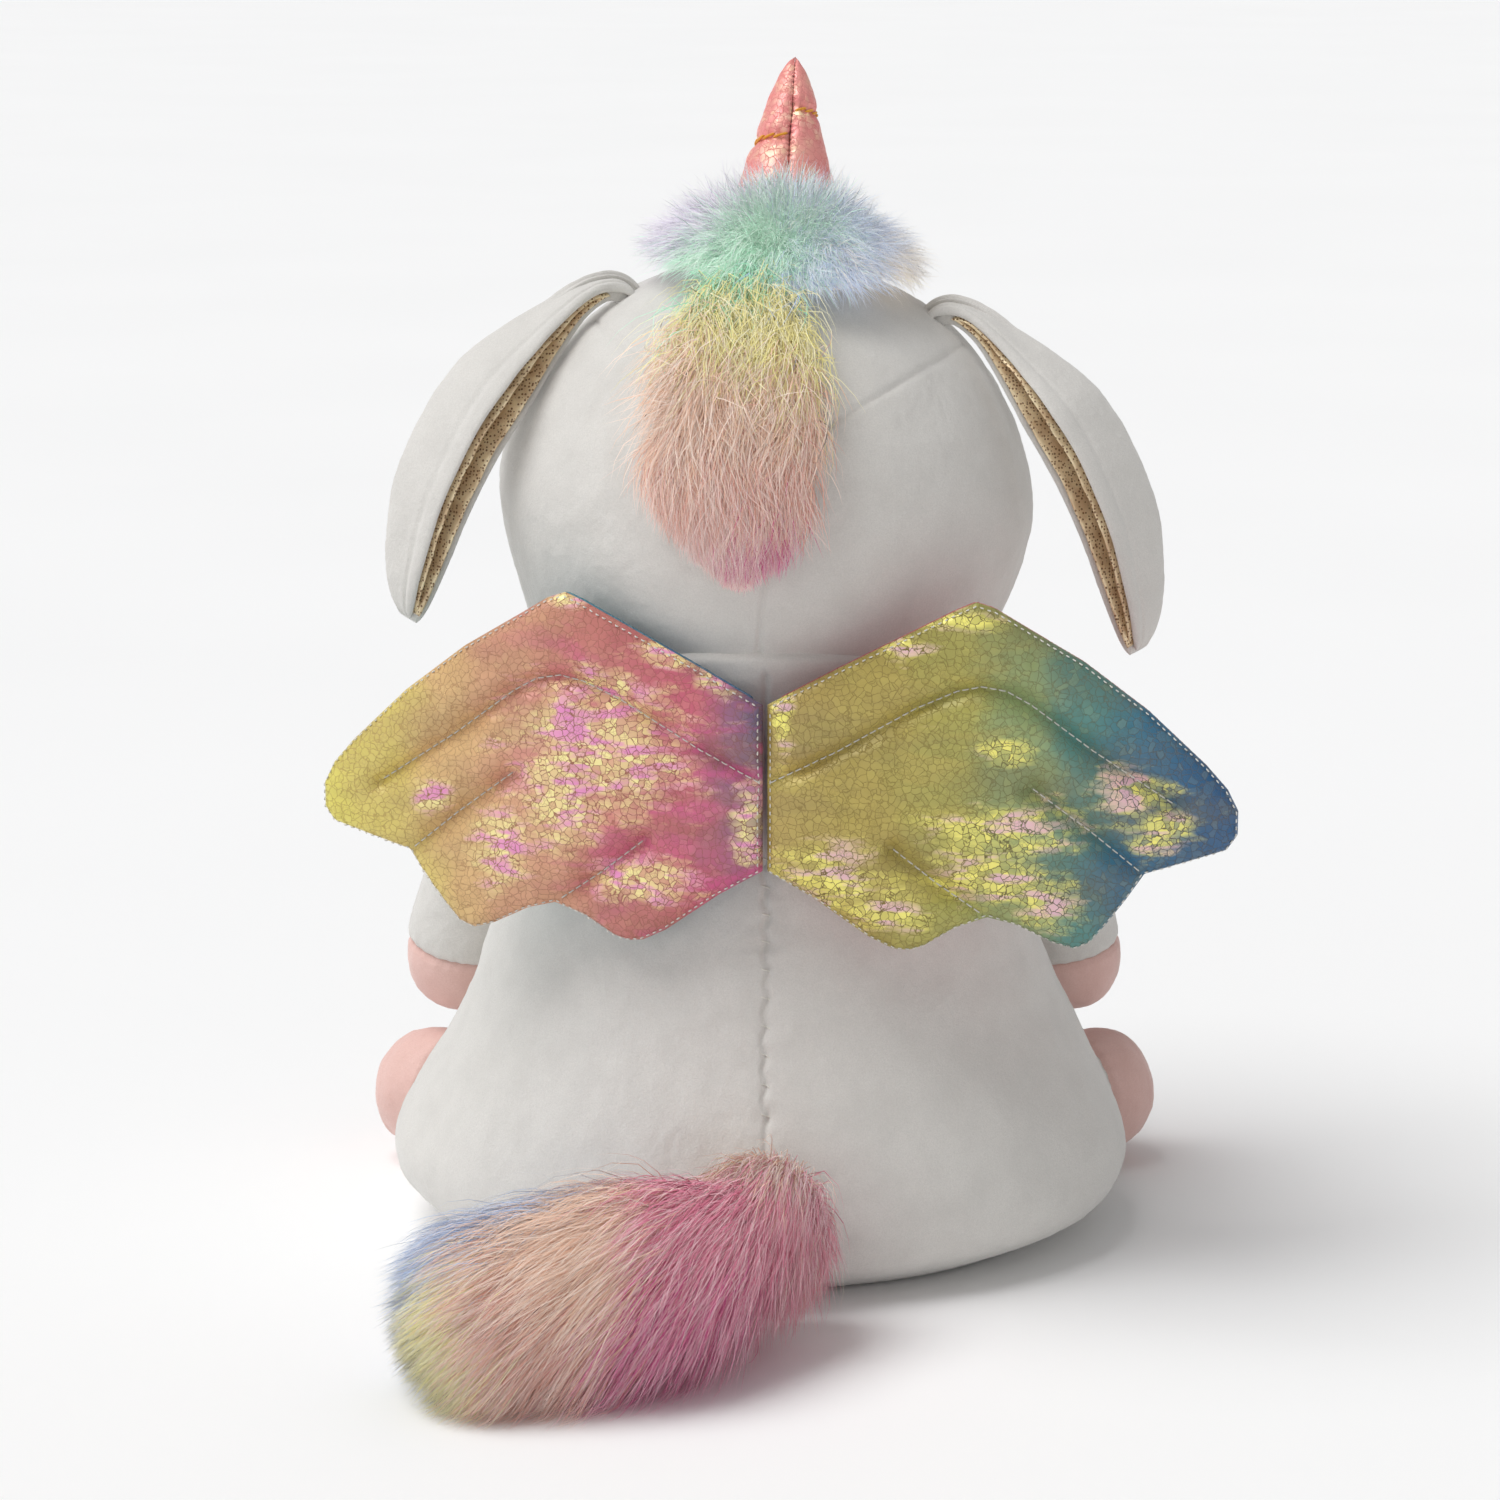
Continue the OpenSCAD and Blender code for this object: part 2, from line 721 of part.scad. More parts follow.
// A ring of the tail, drawn in towards its middle line
function tail_ring(v, n, share) =
  let (c = tail_line(min(max(v, 0), 1)))
  [for (i = [0 : n - 1]) c + share * (tail_at(i * 360 / n, v) - c)];

tail_steps = [-0.96, -0.7, -0.4, 0, 0.15, 0.3, 0.45, 0.6, 0.75, 0.88, 1, 1.35, 1.7, 1.95];

module tail_form(share) {
  rings([for (v = tail_steps) tail_ring(v, 22, share)]);
}

module tail_cover() {
  color("palevioletred") difference() {
    tail_form(1);
    tail_form(0.6);
  }
}

module tail_stuffing() {
  color(filling) tail_form(0.57);
}

body_back(1);  // body_back_left
body_back(-1);  // body_back_right
body_front();
base_panel();
body_stuffing();
pellet_pouch();
pellet_fill();
closing_thread();
neck_thread();
head_back(1);  // head_back_left
head_back(-1);  // head_back_right
face_panel();
muzzle_panel();
head_stuffing();
muzzle_stuffing();
eye(1);  // eye_left
eye(-1);  // eye_right
eye_washers();
nostril_stitching();
mouth_stitching();
horn_half(1);  // horn_left
horn_half(-1);  // horn_right
horn_stuffing();
horn_thread();
mane_crest();
mane_nape();
ear_outer(1);  // ear_left_outer
ear_lining(1);  // ear_left_lining
ear_outer(-1);  // ear_right_outer
ear_lining(-1);  // ear_right_lining
wing_back(1, "lightcoral");  // wing_left_back
wing_front(1, "cadetblue");  // wing_left_front
wing_batting(1);  // wing_left_batting
wing_stitching(1);  // wing_left_stitching
wing_back(-1, "darkkhaki");  // wing_right_back
wing_front(-1, "indianred");  // wing_right_front
wing_batting(-1);  // wing_right_batting
wing_stitching(-1);  // wing_right_stitching
arm_sleeve(1);  // arm_left_sleeve
arm_hoof(1);  // arm_left_hoof
arm_stuffing(1);  // arm_left_stuffing
arm_sleeve(-1);  // arm_right_sleeve
arm_hoof(-1);  // arm_right_hoof
arm_stuffing(-1);  // arm_right_stuffing
leg_sleeve(1);  // leg_left_sleeve
leg_hoof(1);  // leg_left_hoof
leg_sole(1);  // leg_left_sole
leg_stuffing(1);  // leg_left_stuffing
leg_sleeve(-1);  // leg_right_sleeve
leg_hoof(-1);  // leg_right_hoof
leg_sole(-1);  // leg_right_sole
leg_stuffing(-1);  // leg_right_stuffing
tail_cover();
tail_stuffing();
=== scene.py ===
"""Looks of the plush unicorn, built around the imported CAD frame. Metres, +Z up, the toy looks along -Y."""
import json
import math

import bpy
import numpy as np
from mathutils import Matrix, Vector
from mathutils.bvhtree import BVHTree
from mathutils.geometry import delaunay_2d_cdt


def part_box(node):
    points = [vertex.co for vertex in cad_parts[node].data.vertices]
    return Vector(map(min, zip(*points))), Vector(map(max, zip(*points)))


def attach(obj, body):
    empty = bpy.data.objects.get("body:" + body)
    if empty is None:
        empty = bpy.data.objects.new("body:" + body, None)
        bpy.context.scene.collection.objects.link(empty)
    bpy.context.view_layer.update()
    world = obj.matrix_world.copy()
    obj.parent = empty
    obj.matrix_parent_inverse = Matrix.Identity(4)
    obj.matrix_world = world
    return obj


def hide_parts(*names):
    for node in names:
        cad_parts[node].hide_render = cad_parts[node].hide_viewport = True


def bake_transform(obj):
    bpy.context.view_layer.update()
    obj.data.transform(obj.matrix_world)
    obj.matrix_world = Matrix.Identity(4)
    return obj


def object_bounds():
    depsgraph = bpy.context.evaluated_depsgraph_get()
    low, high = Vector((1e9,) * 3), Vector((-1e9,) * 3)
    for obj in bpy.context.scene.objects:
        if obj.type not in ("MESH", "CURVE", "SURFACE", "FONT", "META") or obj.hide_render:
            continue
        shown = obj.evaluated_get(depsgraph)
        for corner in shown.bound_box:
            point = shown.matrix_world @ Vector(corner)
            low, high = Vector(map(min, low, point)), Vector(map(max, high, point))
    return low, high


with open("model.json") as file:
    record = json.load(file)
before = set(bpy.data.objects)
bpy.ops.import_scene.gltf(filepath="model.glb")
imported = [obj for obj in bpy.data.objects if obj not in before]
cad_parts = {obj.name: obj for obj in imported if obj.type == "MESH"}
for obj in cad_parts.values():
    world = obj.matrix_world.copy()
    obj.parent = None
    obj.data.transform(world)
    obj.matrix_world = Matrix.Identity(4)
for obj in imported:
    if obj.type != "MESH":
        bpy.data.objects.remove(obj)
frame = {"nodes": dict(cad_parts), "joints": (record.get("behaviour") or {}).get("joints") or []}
cad_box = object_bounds()

MM = 0.001
joints = {j["name"]: np.array(j["pos_m"], float) for j in frame["joints"]}

# ---- Vectors, noise and smooth curves ----


def unit(v):
    return v / np.maximum(np.linalg.norm(v, axis=-1, keepdims=True), 1e-12)


def turn(axis, degrees):
    """The rotation matrix about one of the axes x, y or z."""
    c, s = math.cos(math.radians(degrees)), math.sin(math.radians(degrees))
    i, j = {"x": (1, 2), "y": (2, 0), "z": (0, 1)}[axis]
    m = np.eye(3)
    m[i, i] = m[j, j] = c
    m[i, j], m[j, i] = -s, s
    return m


def ease(t):
    t = np.clip(t, 0, 1)
    return t * t * (3 - 2 * t)


def noise(p, size, seed=0):
    """Smooth noise from -1 to 1 at points p, with features of that size."""
    q = np.asarray(p, float) / size
    cell = np.floor(q).astype(np.int64)
    f = q - cell
    f = f * f * (3 - 2 * f)
    total = np.zeros(q.shape[:-1])
    for corner in range(8):
        o = np.array([corner & 1, corner >> 1 & 1, corner >> 2 & 1])
        k = cell + o
        h = (k[..., 0] * 73856093) ^ (k[..., 1] * 19349663) ^ (k[..., 2] * 83492791) ^ (seed * 2654435761)
        h = (h ^ (h >> 13)) * 1274126177 & 0x7FFFFFFF
        h = (h ^ (h >> 16)) % 65521
        total += np.prod(np.where(o, f, 1 - f), axis=-1) * (h / 32760.5 - 1)
    return total


def layered(p, size, seed=0, layers=3):
    return sum(noise(p, size / 2**k, seed + k) / 2**k for k in range(layers))


def through(rows, t):
    """Points on a smooth curve through rows, with t from 0 to 1."""
    rows = np.asarray(rows, float)
    n = len(rows) - 1
    k = np.clip(np.floor(t * n).astype(int), 0, n - 1)
    s = (t * n - k)[..., None]
    a, b, c, d = rows[np.maximum(k - 1, 0)], rows[k], rows[k + 1], rows[np.minimum(k + 2, n)]
    return 0.5 * (2 * b + (c - a) * s + (2 * a - 5 * b + 4 * c - d) * s**2 + (3 * b - a - 3 * c + d) * s**3)


def to_segments(p, line):
    """Distance from 2-D points p to a line of points, and the share of the way along it."""
    best, along = np.full(len(p), 1e9), np.zeros(len(p))
    line = np.asarray(line, float)
    lengths = np.linalg.norm(np.diff(line, axis=0), axis=1)
    start = 0.0
    for a, b, length in zip(line[:-1], line[1:], lengths):
        t = np.clip(((p - a) @ (b - a)) / max(length**2, 1e-12), 0, 1)
        d = np.linalg.norm(p - (a + t[:, None] * (b - a)), axis=1)
        near = d < best
        best[near] = d[near]
        along[near] = (start + t[near] * length) / lengths.sum()
        start += length
    return best, along


def resampled(line, step, closed=False):
    """Points a step apart along a line."""
    line = np.asarray(line, float)
    if closed:
        line = np.vstack([line, line[:1]])
    s = np.concatenate([[0], np.cumsum(np.linalg.norm(np.diff(line, axis=0), axis=1))])
    n = max(2, round(s[-1] / step))
    at = np.linspace(0, s[-1], n + 1)[: n if closed else n + 1]
    return np.stack([np.interp(at, s, line[:, k]) for k in range(line.shape[1])], axis=1)


def inside(p, outline):
    """Which 2-D points lie inside a closed outline."""
    a, b = np.asarray(outline), np.roll(outline, -1, axis=0)
    hit = np.zeros(len(p), bool)
    for (x0, y0), (x1, y1) in zip(a, b):
        if y0 != y1:
            cross = (y0 > p[:, 1]) != (y1 > p[:, 1])
            hit ^= cross & (p[:, 0] < (x1 - x0) * (p[:, 1] - y0) / (y1 - y0) + x0)
    return hit


# ---- Meshes ----


def new_mesh(name, points, faces, materials=(), indices=None, smooth=True):
    """An object from arrays: points (n, 3) and faces, one (m, 3 or 4) array or a list of such arrays."""
    faces = [np.asarray(f, np.int32) for f in (faces if isinstance(faces, list) else [faces]) if len(f)]
    sizes = np.concatenate([np.full(len(f), f.shape[1], np.int32) for f in faces])
    loops = np.concatenate([f.ravel() for f in faces])
    mesh = bpy.data.meshes.new(name)
    mesh.vertices.add(len(points))
    mesh.vertices.foreach_set("co", np.asarray(points, np.float32).ravel())
    mesh.loops.add(len(loops))
    mesh.loops.foreach_set("vertex_index", loops)
    mesh.polygons.add(len(sizes))
    mesh.polygons.foreach_set("loop_start", np.concatenate([[0], np.cumsum(sizes)[:-1]]).astype(np.int32))
    mesh.polygons.foreach_set("use_smooth", np.full(len(sizes), smooth))
    for m in materials:
        mesh.materials.append(m)
    if indices is not None:
        mesh.polygons.foreach_set("material_index", np.asarray(indices, np.int32))
    mesh.update(calc_edges=True)
    obj = bpy.data.objects.new(name, mesh)
    bpy.context.scene.collection.objects.link(obj)
    return obj


def tube_faces(n, m, start=0):
    """Quads of m rings of n points, closed round, looking outwards if rings go round and then up."""
    i, j = np.meshgrid(np.arange(n), np.arange(m - 1), indexing="ij")
    k = (i + 1) % n
    a = j * n
    return np.stack([a + i, a + k, a + n + k, a + n + i], axis=-1).reshape(-1, 4) + start


def closed_tube(grid):
    """Points and faces of rings (m, n, 3) with a fan at each end."""
    m, n = grid.shape[:2]
    points = np.vstack([grid.reshape(-1, 3), grid[0].mean(0), grid[-1].mean(0)])
    i = np.arange(n)
    k = (i + 1) % n
    low = np.stack([np.full(n, m * n), k, i], axis=1)
    high = np.stack([np.full(n, m * n + 1), (m - 1) * n + i, (m - 1) * n + k], axis=1)
    return points, [tube_faces(n, m), low, high]


def grid_normals(grid, wrap=True):
    """Outward normals of rings (m, n, 3)."""
    du = np.roll(grid, -1, 1) - np.roll(grid, 1, 1) if wrap else np.gradient(grid, axis=1)
    dv = np.gradient(grid, axis=0)
    return unit(np.cross(du, dv))


def blur(grid, sigma_u, sigma_v, wrap=True):
    """Rings smoothed round and along, by sigmas in steps."""
    out = grid
    for axis, sigma in ((1, sigma_u), (0, sigma_v)):
        if sigma <= 0:
            continue
        r = int(math.ceil(3 * sigma))
        w = np.exp(-0.5 * (np.arange(-r, r + 1) / sigma) ** 2)
        w /= w.sum()
        pad = [(0, 0)] * 3
        pad[axis] = (r, r)
        how = {"mode": "wrap"} if axis == 1 and wrap else {"mode": "reflect", "reflect_type": "odd"}
        wide, length = np.pad(out, pad, **how), out.shape[axis]
        out = sum(w[k] * np.take(wide, np.arange(k, k + length), axis=axis) for k in range(2 * r + 1))
    return out


def resized(grid, us, vs):
    """Rings (m, n, k) read at turns us (0 to 1, wrapping) and heights vs (0 to 1), with smooth steps."""
    m, n = grid.shape[:2]

    def cubic(a, at, size, axis, wrap):
        k = np.floor(at).astype(int)
        s = at - k
        w = [-0.5 * s + s**2 - 0.5 * s**3, 1 - 2.5 * s**2 + 1.5 * s**3,
             0.5 * s + 2 * s**2 - 1.5 * s**3, -0.5 * s**2 + 0.5 * s**3]
        total = 0
        for o in range(4):
            index = (k + o - 1) % size if wrap else np.clip(k + o - 1, 0, size - 1)
            shape = (1, -1, 1) if axis == 1 else (-1, 1, 1)
            total = total + np.take(a, index, axis=axis) * w[o].reshape(shape)
        return total

    return cubic(cubic(grid, us * n, n, 1, True), vs * (m - 1), m, 0, False)


def cad_tree(*nodes):
    """A ray-casting tree of CAD nodes."""
    points, faces, start = [], [], 0
    for name in nodes:
        mesh = frame["nodes"][name].data
        points += [v.co for v in mesh.vertices]
        faces += [[start + k for k in p.vertices] for p in mesh.polygons]
        start += len(mesh.vertices)
    return BVHTree.FromPolygons(points, faces)


def cast(tree, centres, ways, far):
    """Where rays from far out along ways, back to centres, first meet the CAD. Misses are nan."""
    out = np.full(centres.shape, np.nan)
    for k, (c, w) in enumerate(zip(centres.reshape(-1, 3), ways.reshape(-1, 3))):
        hit = tree.ray_cast(Vector(c + w * far), Vector(-w), far)[0]
        if hit is not None:
            out.reshape(-1, 3)[k] = hit
    return out


def filled_in(grid):
    """Rings with each nan point taken from its neighbours."""
    out, bad = grid.copy(), np.isnan(grid[..., 0])
    if not bad.any():
        return out
    out[bad] = np.nanmean(grid.reshape(-1, 3), axis=0)
    for _ in range(400):
        side = np.pad(out, ((1, 1), (0, 0), (0, 0)), mode="edge")
        mean = (np.roll(out, 1, 1) + np.roll(out, -1, 1) + side[:-2] + side[2:]) / 4
        out[bad] = mean[bad]
    return out


# ---- Cloth ----

INFLATE_FRAMES = 20
jobs = []


def inflate(points, faces, pinned, pressure, cap, stiffness=15.0):
    """Lists a closed mesh to be blown up as cloth. run_cloth() fills in how far each point moves."""
    job = {"points": points, "faces": faces, "pinned": pinned, "pressure": pressure, "cap": cap,
           "stiffness": stiffness, "moved": np.zeros_like(points)}
    jobs.append(job)
    return job


def held_rings(rings, low, high, seams):
    """Which points of a closed tube stay put in the cloth: its first and last rings, and some seams."""
    held = np.zeros(rings.shape[:2], bool)
    held[:low] = True
    held[len(rings) - high:] = True
    held[:, seams] = True
    return np.append(held.ravel(), [high > 0] * 2)


def run_cloth():
    """Simulates all listed meshes together, and keeps each point's move, at most its cap."""
    scene = bpy.context.scene
    made = []
    for k, job in enumerate(jobs):
        obj = new_mesh(f"cloth_{k}", job["points"], job["faces"])
        group = obj.vertex_groups.new(name="pin")
        group.add([int(i) for i in np.flatnonzero(job["pinned"])], 1.0, "REPLACE")
        cloth = obj.modifiers.new("cloth", "CLOTH")
        s = cloth.settings
        s.quality = 4
        s.mass = 0.15
        s.tension_stiffness = s.compression_stiffness = job["stiffness"]
        s.shear_stiffness = 5.0
        s.bending_stiffness = 0.5
        s.use_pressure = True
        s.uniform_pressure_force = job["pressure"]
        s.vertex_group_mass = "pin"
        s.effector_weights.gravity = 0
        cloth.collision_settings.use_collision = False
        cloth.point_cache.frame_start, cloth.point_cache.frame_end = 1, INFLATE_FRAMES
        made.append(obj)
    for f in range(1, INFLATE_FRAMES + 1):
        scene.frame_set(f)
    graph = bpy.context.evaluated_depsgraph_get()
    for obj, job in zip(made, jobs):
        mesh = obj.evaluated_get(graph).data
        co = np.empty(len(mesh.vertices) * 3, np.float32)
        mesh.vertices.foreach_get("co", co)
        move = co.reshape(-1, 3).astype(float) - job["points"]
        size = np.linalg.norm(move, axis=1, keepdims=True)
        job["moved"] = move * np.minimum(1, job["cap"] / np.maximum(size, 1e-9))
    for obj in made:
        mesh = obj.data
        bpy.data.objects.remove(obj)
        bpy.data.meshes.remove(mesh)
    scene.frame_set(1)
    jobs.clear()


# ---- Materials ----


class Paint:
    """A node material with one Principled shader and short names for common nodes."""

    def __init__(self, name, roughness=0.8, sheen=0.0, sheen_rough=0.5, metallic=0.0, specular=0.5):
        self.material = bpy.data.materials.new(name)
        self.material.use_nodes = True
        self.tree = self.material.node_tree
        self.shader = self.tree.nodes["Principled BSDF"]
        self.set(Roughness=roughness, Metallic=metallic)
        self.shader.inputs["Specular IOR Level"].default_value = specular
        self.shader.inputs["Sheen Weight"].default_value = sheen
        self.shader.inputs["Sheen Roughness"].default_value = sheen_rough
        self.at = self.node("ShaderNodeTexCoord").outputs["Object"]

    def node(self, kind, **inputs):
        n = self.tree.nodes.new(kind)
        for key, value in inputs.items():
            socket = int(key[1:]) if key[1:].isdigit() else key.replace("_", " ")
            self.plug(n.inputs[socket], value)
        return n

    def plug(self, socket, value):
        if isinstance(value, bpy.types.NodeSocket):
            self.tree.links.new(value, socket)
        elif isinstance(value, (tuple, list)) and len(value) == 3 and socket.type == "RGBA":
            socket.default_value = (*value, 1)
        else:
            socket.default_value = value

    def set(self, **inputs):
        for key, value in inputs.items():
            self.plug(self.shader.inputs[key.replace("_", " ")], value)
        return self

    def math(self, kind, a, b=0.0, c=0.0, clamp=False):
        n = self.tree.nodes.new("ShaderNodeMath")
        n.operation, n.use_clamp = kind, clamp
        for socket, value in zip(n.inputs, (a, b, c)):
            self.plug(socket, value)
        return n.outputs[0]

    def vmath(self, kind, a, b=(0.0, 0.0, 0.0), out=0):
        n = self.tree.nodes.new("ShaderNodeVectorMath")
        n.operation = kind
        self.plug(n.inputs[0], a)
        if kind == "SCALE":
            self.plug(n.inputs["Scale"], b)
        else:
            self.plug(n.inputs[1], b)
        return n.outputs[out]

    def noise(self, size, at=None, detail=2.0, rough=0.5, distortion=0.0):
        n = self.node("ShaderNodeTexNoise", Vector=at or self.at, Scale=1 / size, Detail=detail,
                      Roughness=rough, Distortion=distortion)
        return n.outputs["Fac"]

    def cells(self, size, feature="F1", at=None, randomness=1.0):
        n = self.node("ShaderNodeTexVoronoi", Vector=at or self.at, Scale=1 / size, Randomness=randomness)
        n.feature = feature
        return n

    def span(self, value, low, high, to_low=0.0, to_high=1.0):
        n = self.node("ShaderNodeMapRange", Value=value)
        for k, v in zip((1, 2, 3, 4), (low, high, to_low, to_high)):
            n.inputs[k].default_value = v
        return n.outputs[0]

    def mix(self, a, b, share, kind="MIX"):
        n = self.tree.nodes.new("ShaderNodeMix")
        n.data_type, n.blend_type = "RGBA", kind
        self.plug(n.inputs["Factor"], share)
        self.plug(n.inputs[6], a)
        self.plug(n.inputs[7], b)
        return n.outputs[2]

    def ramp(self, value, stops):
        n = self.node("ShaderNodeValToRGB", Fac=value)
        n.color_ramp.interpolation = "EASE"
        while len(n.color_ramp.elements) < len(stops):
            n.color_ramp.elements.new(1.0)
        for e, (at, colour) in zip(n.color_ramp.elements, stops):
            e.position, e.color = at, (*colour, 1)
        return n.outputs["Color"]

    def bump(self, height, distance, strength=1.0, normal=None):
        n = self.node("ShaderNodeBump", Height=height, Distance=distance, Strength=strength)
        if normal is not None:
            self.plug(n.inputs["Normal"], normal)
        return n.outputs["Normal"]


def rgb(r, g, b):
    """A colour given as 0 to 255, made linear."""
    return tuple(((c / 255 + 0.055) / 1.055) ** 2.4 if c > 10 else c / 255 / 12.92 for c in (r, g, b))


def plush(name, colour, shade, wale=1.0):
    """Short-pile knitted plush: fine fibres in faint rows, with softly mottled colour."""
    p = Paint(name, roughness=0.92, sheen=0.35, sheen_rough=0.45, specular=0.2)
    fibres = p.noise(0.5 * MM, detail=3.0, rough=0.65)
    tufts = p.noise(1.3 * MM * wale, detail=2.0)
    patches = p.noise(14 * MM, detail=3.0)
    tone = p.mix(colour, shade, p.span(fibres, 0.35, 0.75, 0.0, 0.6))
    tone = p.mix(tone, shade, p.span(patches, 0.4, 0.7, 0.0, 0.3))
    rise = p.math("MULTIPLY_ADD", tufts, 0.8, p.math("MULTIPLY", fibres, 0.6))
    p.set(Base_Color=tone, Normal=p.bump(rise, 0.35 * MM, 0.55))
    return p.material


def foil(name, base_of, crack, painted_highlight_colours, cell=2.4, metallic=0.12, roughness=0.36):
    """Crackled foil on cloth: cells of shiny foil parted by dull cracks, with painted highlights: cells
    brightened in zones, a second highlight tint in streaks, and faint painted glints.
    """
    p = Paint(name, roughness=roughness, specular=0.6)
    wobble = p.node("ShaderNodeTexNoise", Vector=p.at, Scale=1 / (2.2 * MM)).outputs["Color"]
    at = p.vmath("ADD", p.at, p.vmath("SCALE", wobble, 0.0016))
    edge = p.cells(cell * MM, "DISTANCE_TO_EDGE", at).outputs["Distance"]
    fine = p.cells(cell * 0.55 * MM, "DISTANCE_TO_EDGE", at).outputs["Distance"]
    lone = p.node("ShaderNodeSeparateColor", Color=p.cells(cell * MM, "F1", at).outputs["Color"])
    base, painted_highlight = base_of(p)
    big = p.span(edge, 0.015, 0.06)
    small = p.span(fine, 0.02, 0.09, 0.6, 1.0)
    shiny = p.math("MULTIPLY", big, p.math("MAXIMUM", small, p.span(lone.outputs[1], 0.45, 0.5)))
    # Painted highlight: in the highlight zones the cells turn towards the highlight colour, some more than
    # others
    painted_lit = p.mix(base, painted_highlight_colours[0], p.math("MULTIPLY", painted_highlight, p.span(lone.outputs[0], 0.05, 0.8, 0.35, 1.0)))
    # A second painted highlight tint, in streaks inside the zones
    streaks = p.noise(7 * MM, at=p.vmath("MULTIPLY", p.at, (0.4, 1.0, 1.7)), detail=3.0)
    tint = p.span(streaks, 0.50, 0.60, 0.0, 0.85)
    painted_lit = p.mix(painted_lit, painted_highlight_colours[1], p.math("MULTIPLY", painted_highlight, tint))
    # Faint painted glints on scattered cells everywhere
    painted_lit = p.mix(painted_lit, painted_highlight_colours[0], p.span(lone.outputs[2], 0.6, 1.0, 0.0, 0.07))
    # The dull cracks are darker where they cross the painted highlight zones
    dull = p.mix(base, crack, p.math("MULTIPLY_ADD", painted_highlight, 0.35, 0.4))
    p.set(Base_Color=p.mix(dull, painted_lit, shiny))
    p.set(Metallic=p.math("MULTIPLY", shiny, metallic))
    p.set(Roughness=p.span(shiny, 0, 1, 0.8, roughness))
    tilt = p.math("MULTIPLY_ADD", lone.outputs[2], 0.35, shiny)
    grain = p.noise(0.7 * MM, detail=2.0)
    p.set(Normal=p.bump(p.math("MULTIPLY_ADD", grain, 0.25, tilt), 0.16 * MM, 0.7))
    return p.material


def thread(name, colour, shade):
    """Twisted sewing thread: strands wound round it in fine slanted ridges."""
    p = Paint(name, roughness=0.6, sheen=0.2)
    wave = p.node("ShaderNodeTexWave", Vector=p.at, Scale=1 / (0.9 * MM), Distortion=1.5)
    p.set(Base_Color=p.mix(colour, shade, p.span(wave.outputs["Fac"], 0.1, 0.9, 0.0, 0.6)))
    p.set(Normal=p.bump(wave.outputs["Fac"], 0.12 * MM, 0.6))
    return p.material


def fibre_fill(name, colour, shade, size):
    """Loose filling seen up close: matted fibres or rounded pellets."""
    p = Paint(name, roughness=0.9, sheen=0.2)
    strands = p.noise(size * MM, detail=6.0, rough=0.75, distortion=2.0)
    p.set(Base_Color=p.mix(colour, shade, p.span(strands, 0.35, 0.7)))
    p.set(Normal=p.bump(strands, 1.0 * MM, 0.8))
    return p.material


def plain_weave(name, colour, shade):
    p = Paint(name, roughness=0.85, sheen=0.1)
    warp = p.node("ShaderNodeTexWave", Vector=p.at, Scale=1 / (1.2 * MM))
    weft = p.node("ShaderNodeTexWave", Vector=p.at, Scale=1 / (1.2 * MM))
    weft.bands_direction = "Z"
    both = p.math("MULTIPLY", warp.outputs["Fac"], weft.outputs["Fac"])
    p.set(Base_Color=p.mix(shade, colour, both), Normal=p.bump(both, 0.1 * MM, 0.6))
    return p.material


def moulded(name, colour, shade, roughness):
    """Moulded plastic with a faint orange-peel surface and small scuffs."""
    p = Paint(name, roughness=roughness)
    scuffs = p.noise(2.5 * MM, detail=5.0, rough=0.7)
    p.set(Base_Color=p.mix(colour, shade, p.span(scuffs, 0.45, 0.8)))
    p.set(Roughness=p.span(scuffs, 0.3, 0.8, roughness * 0.8, roughness * 1.8))
    p.set(Normal=p.bump(p.noise(0.9 * MM), 0.05 * MM, 0.4))
    return p.material


WHITE, WHITE_SHADE = rgb(222, 219, 214), rgb(199, 196, 191)
PINK, PINK_SHADE = rgb(232, 196, 188), rgb(214, 172, 162)
white_plush = plush("white_plush", WHITE, WHITE_SHADE)
pink_plush = plush("pink_plush", PINK, PINK_SHADE)
white_thread = thread("white_thread", rgb(240, 238, 230), rgb(200, 196, 186))
gold_thread = thread("gold_thread", rgb(245, 176, 40), rgb(205, 120, 15))
pink_thread = thread("embroidery", rgb(225, 150, 150), rgb(196, 116, 118))
stuffing = fibre_fill("stuffing", rgb(245, 245, 242), rgb(214, 214, 210), 1.5)
batting = fibre_fill("batting", rgb(245, 245, 242), rgb(220, 220, 216), 0.9)
pellets = fibre_fill("pellets", rgb(238, 238, 234), rgb(186, 186, 182), 3.0)
pouch_cloth = plain_weave("pouch_cloth", rgb(244, 244, 240), rgb(206, 206, 200))
eye_plastic = moulded("eye_plastic", rgb(16, 13, 14), rgb(30, 24, 24), 0.08)
washer_plastic = moulded("washer_plastic", rgb(235, 235, 230), rgb(214, 214, 208), 0.5)


def keep_node(name, material):
    """A CAD node that is shown as it is, with a better material."""
    mesh = frame["nodes"][name].data
    mesh.materials.clear()
    mesh.materials.append(material)


INNER = {
    stuffing: ["body_stuffing", "head_stuffing", "muzzle_stuffing", "horn_stuffing"],
    pouch_cloth: ["pellet_pouch"],
    pellets: ["pellet_fill"],
    washer_plastic: ["eye_washers"],
}
for material, names in INNER.items():
    for node in names:
        keep_node(node, material)


def finish_piece(obj, body, nodes):
    if body:
        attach(obj, body)
    if nodes:
        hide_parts(*nodes)
    return obj


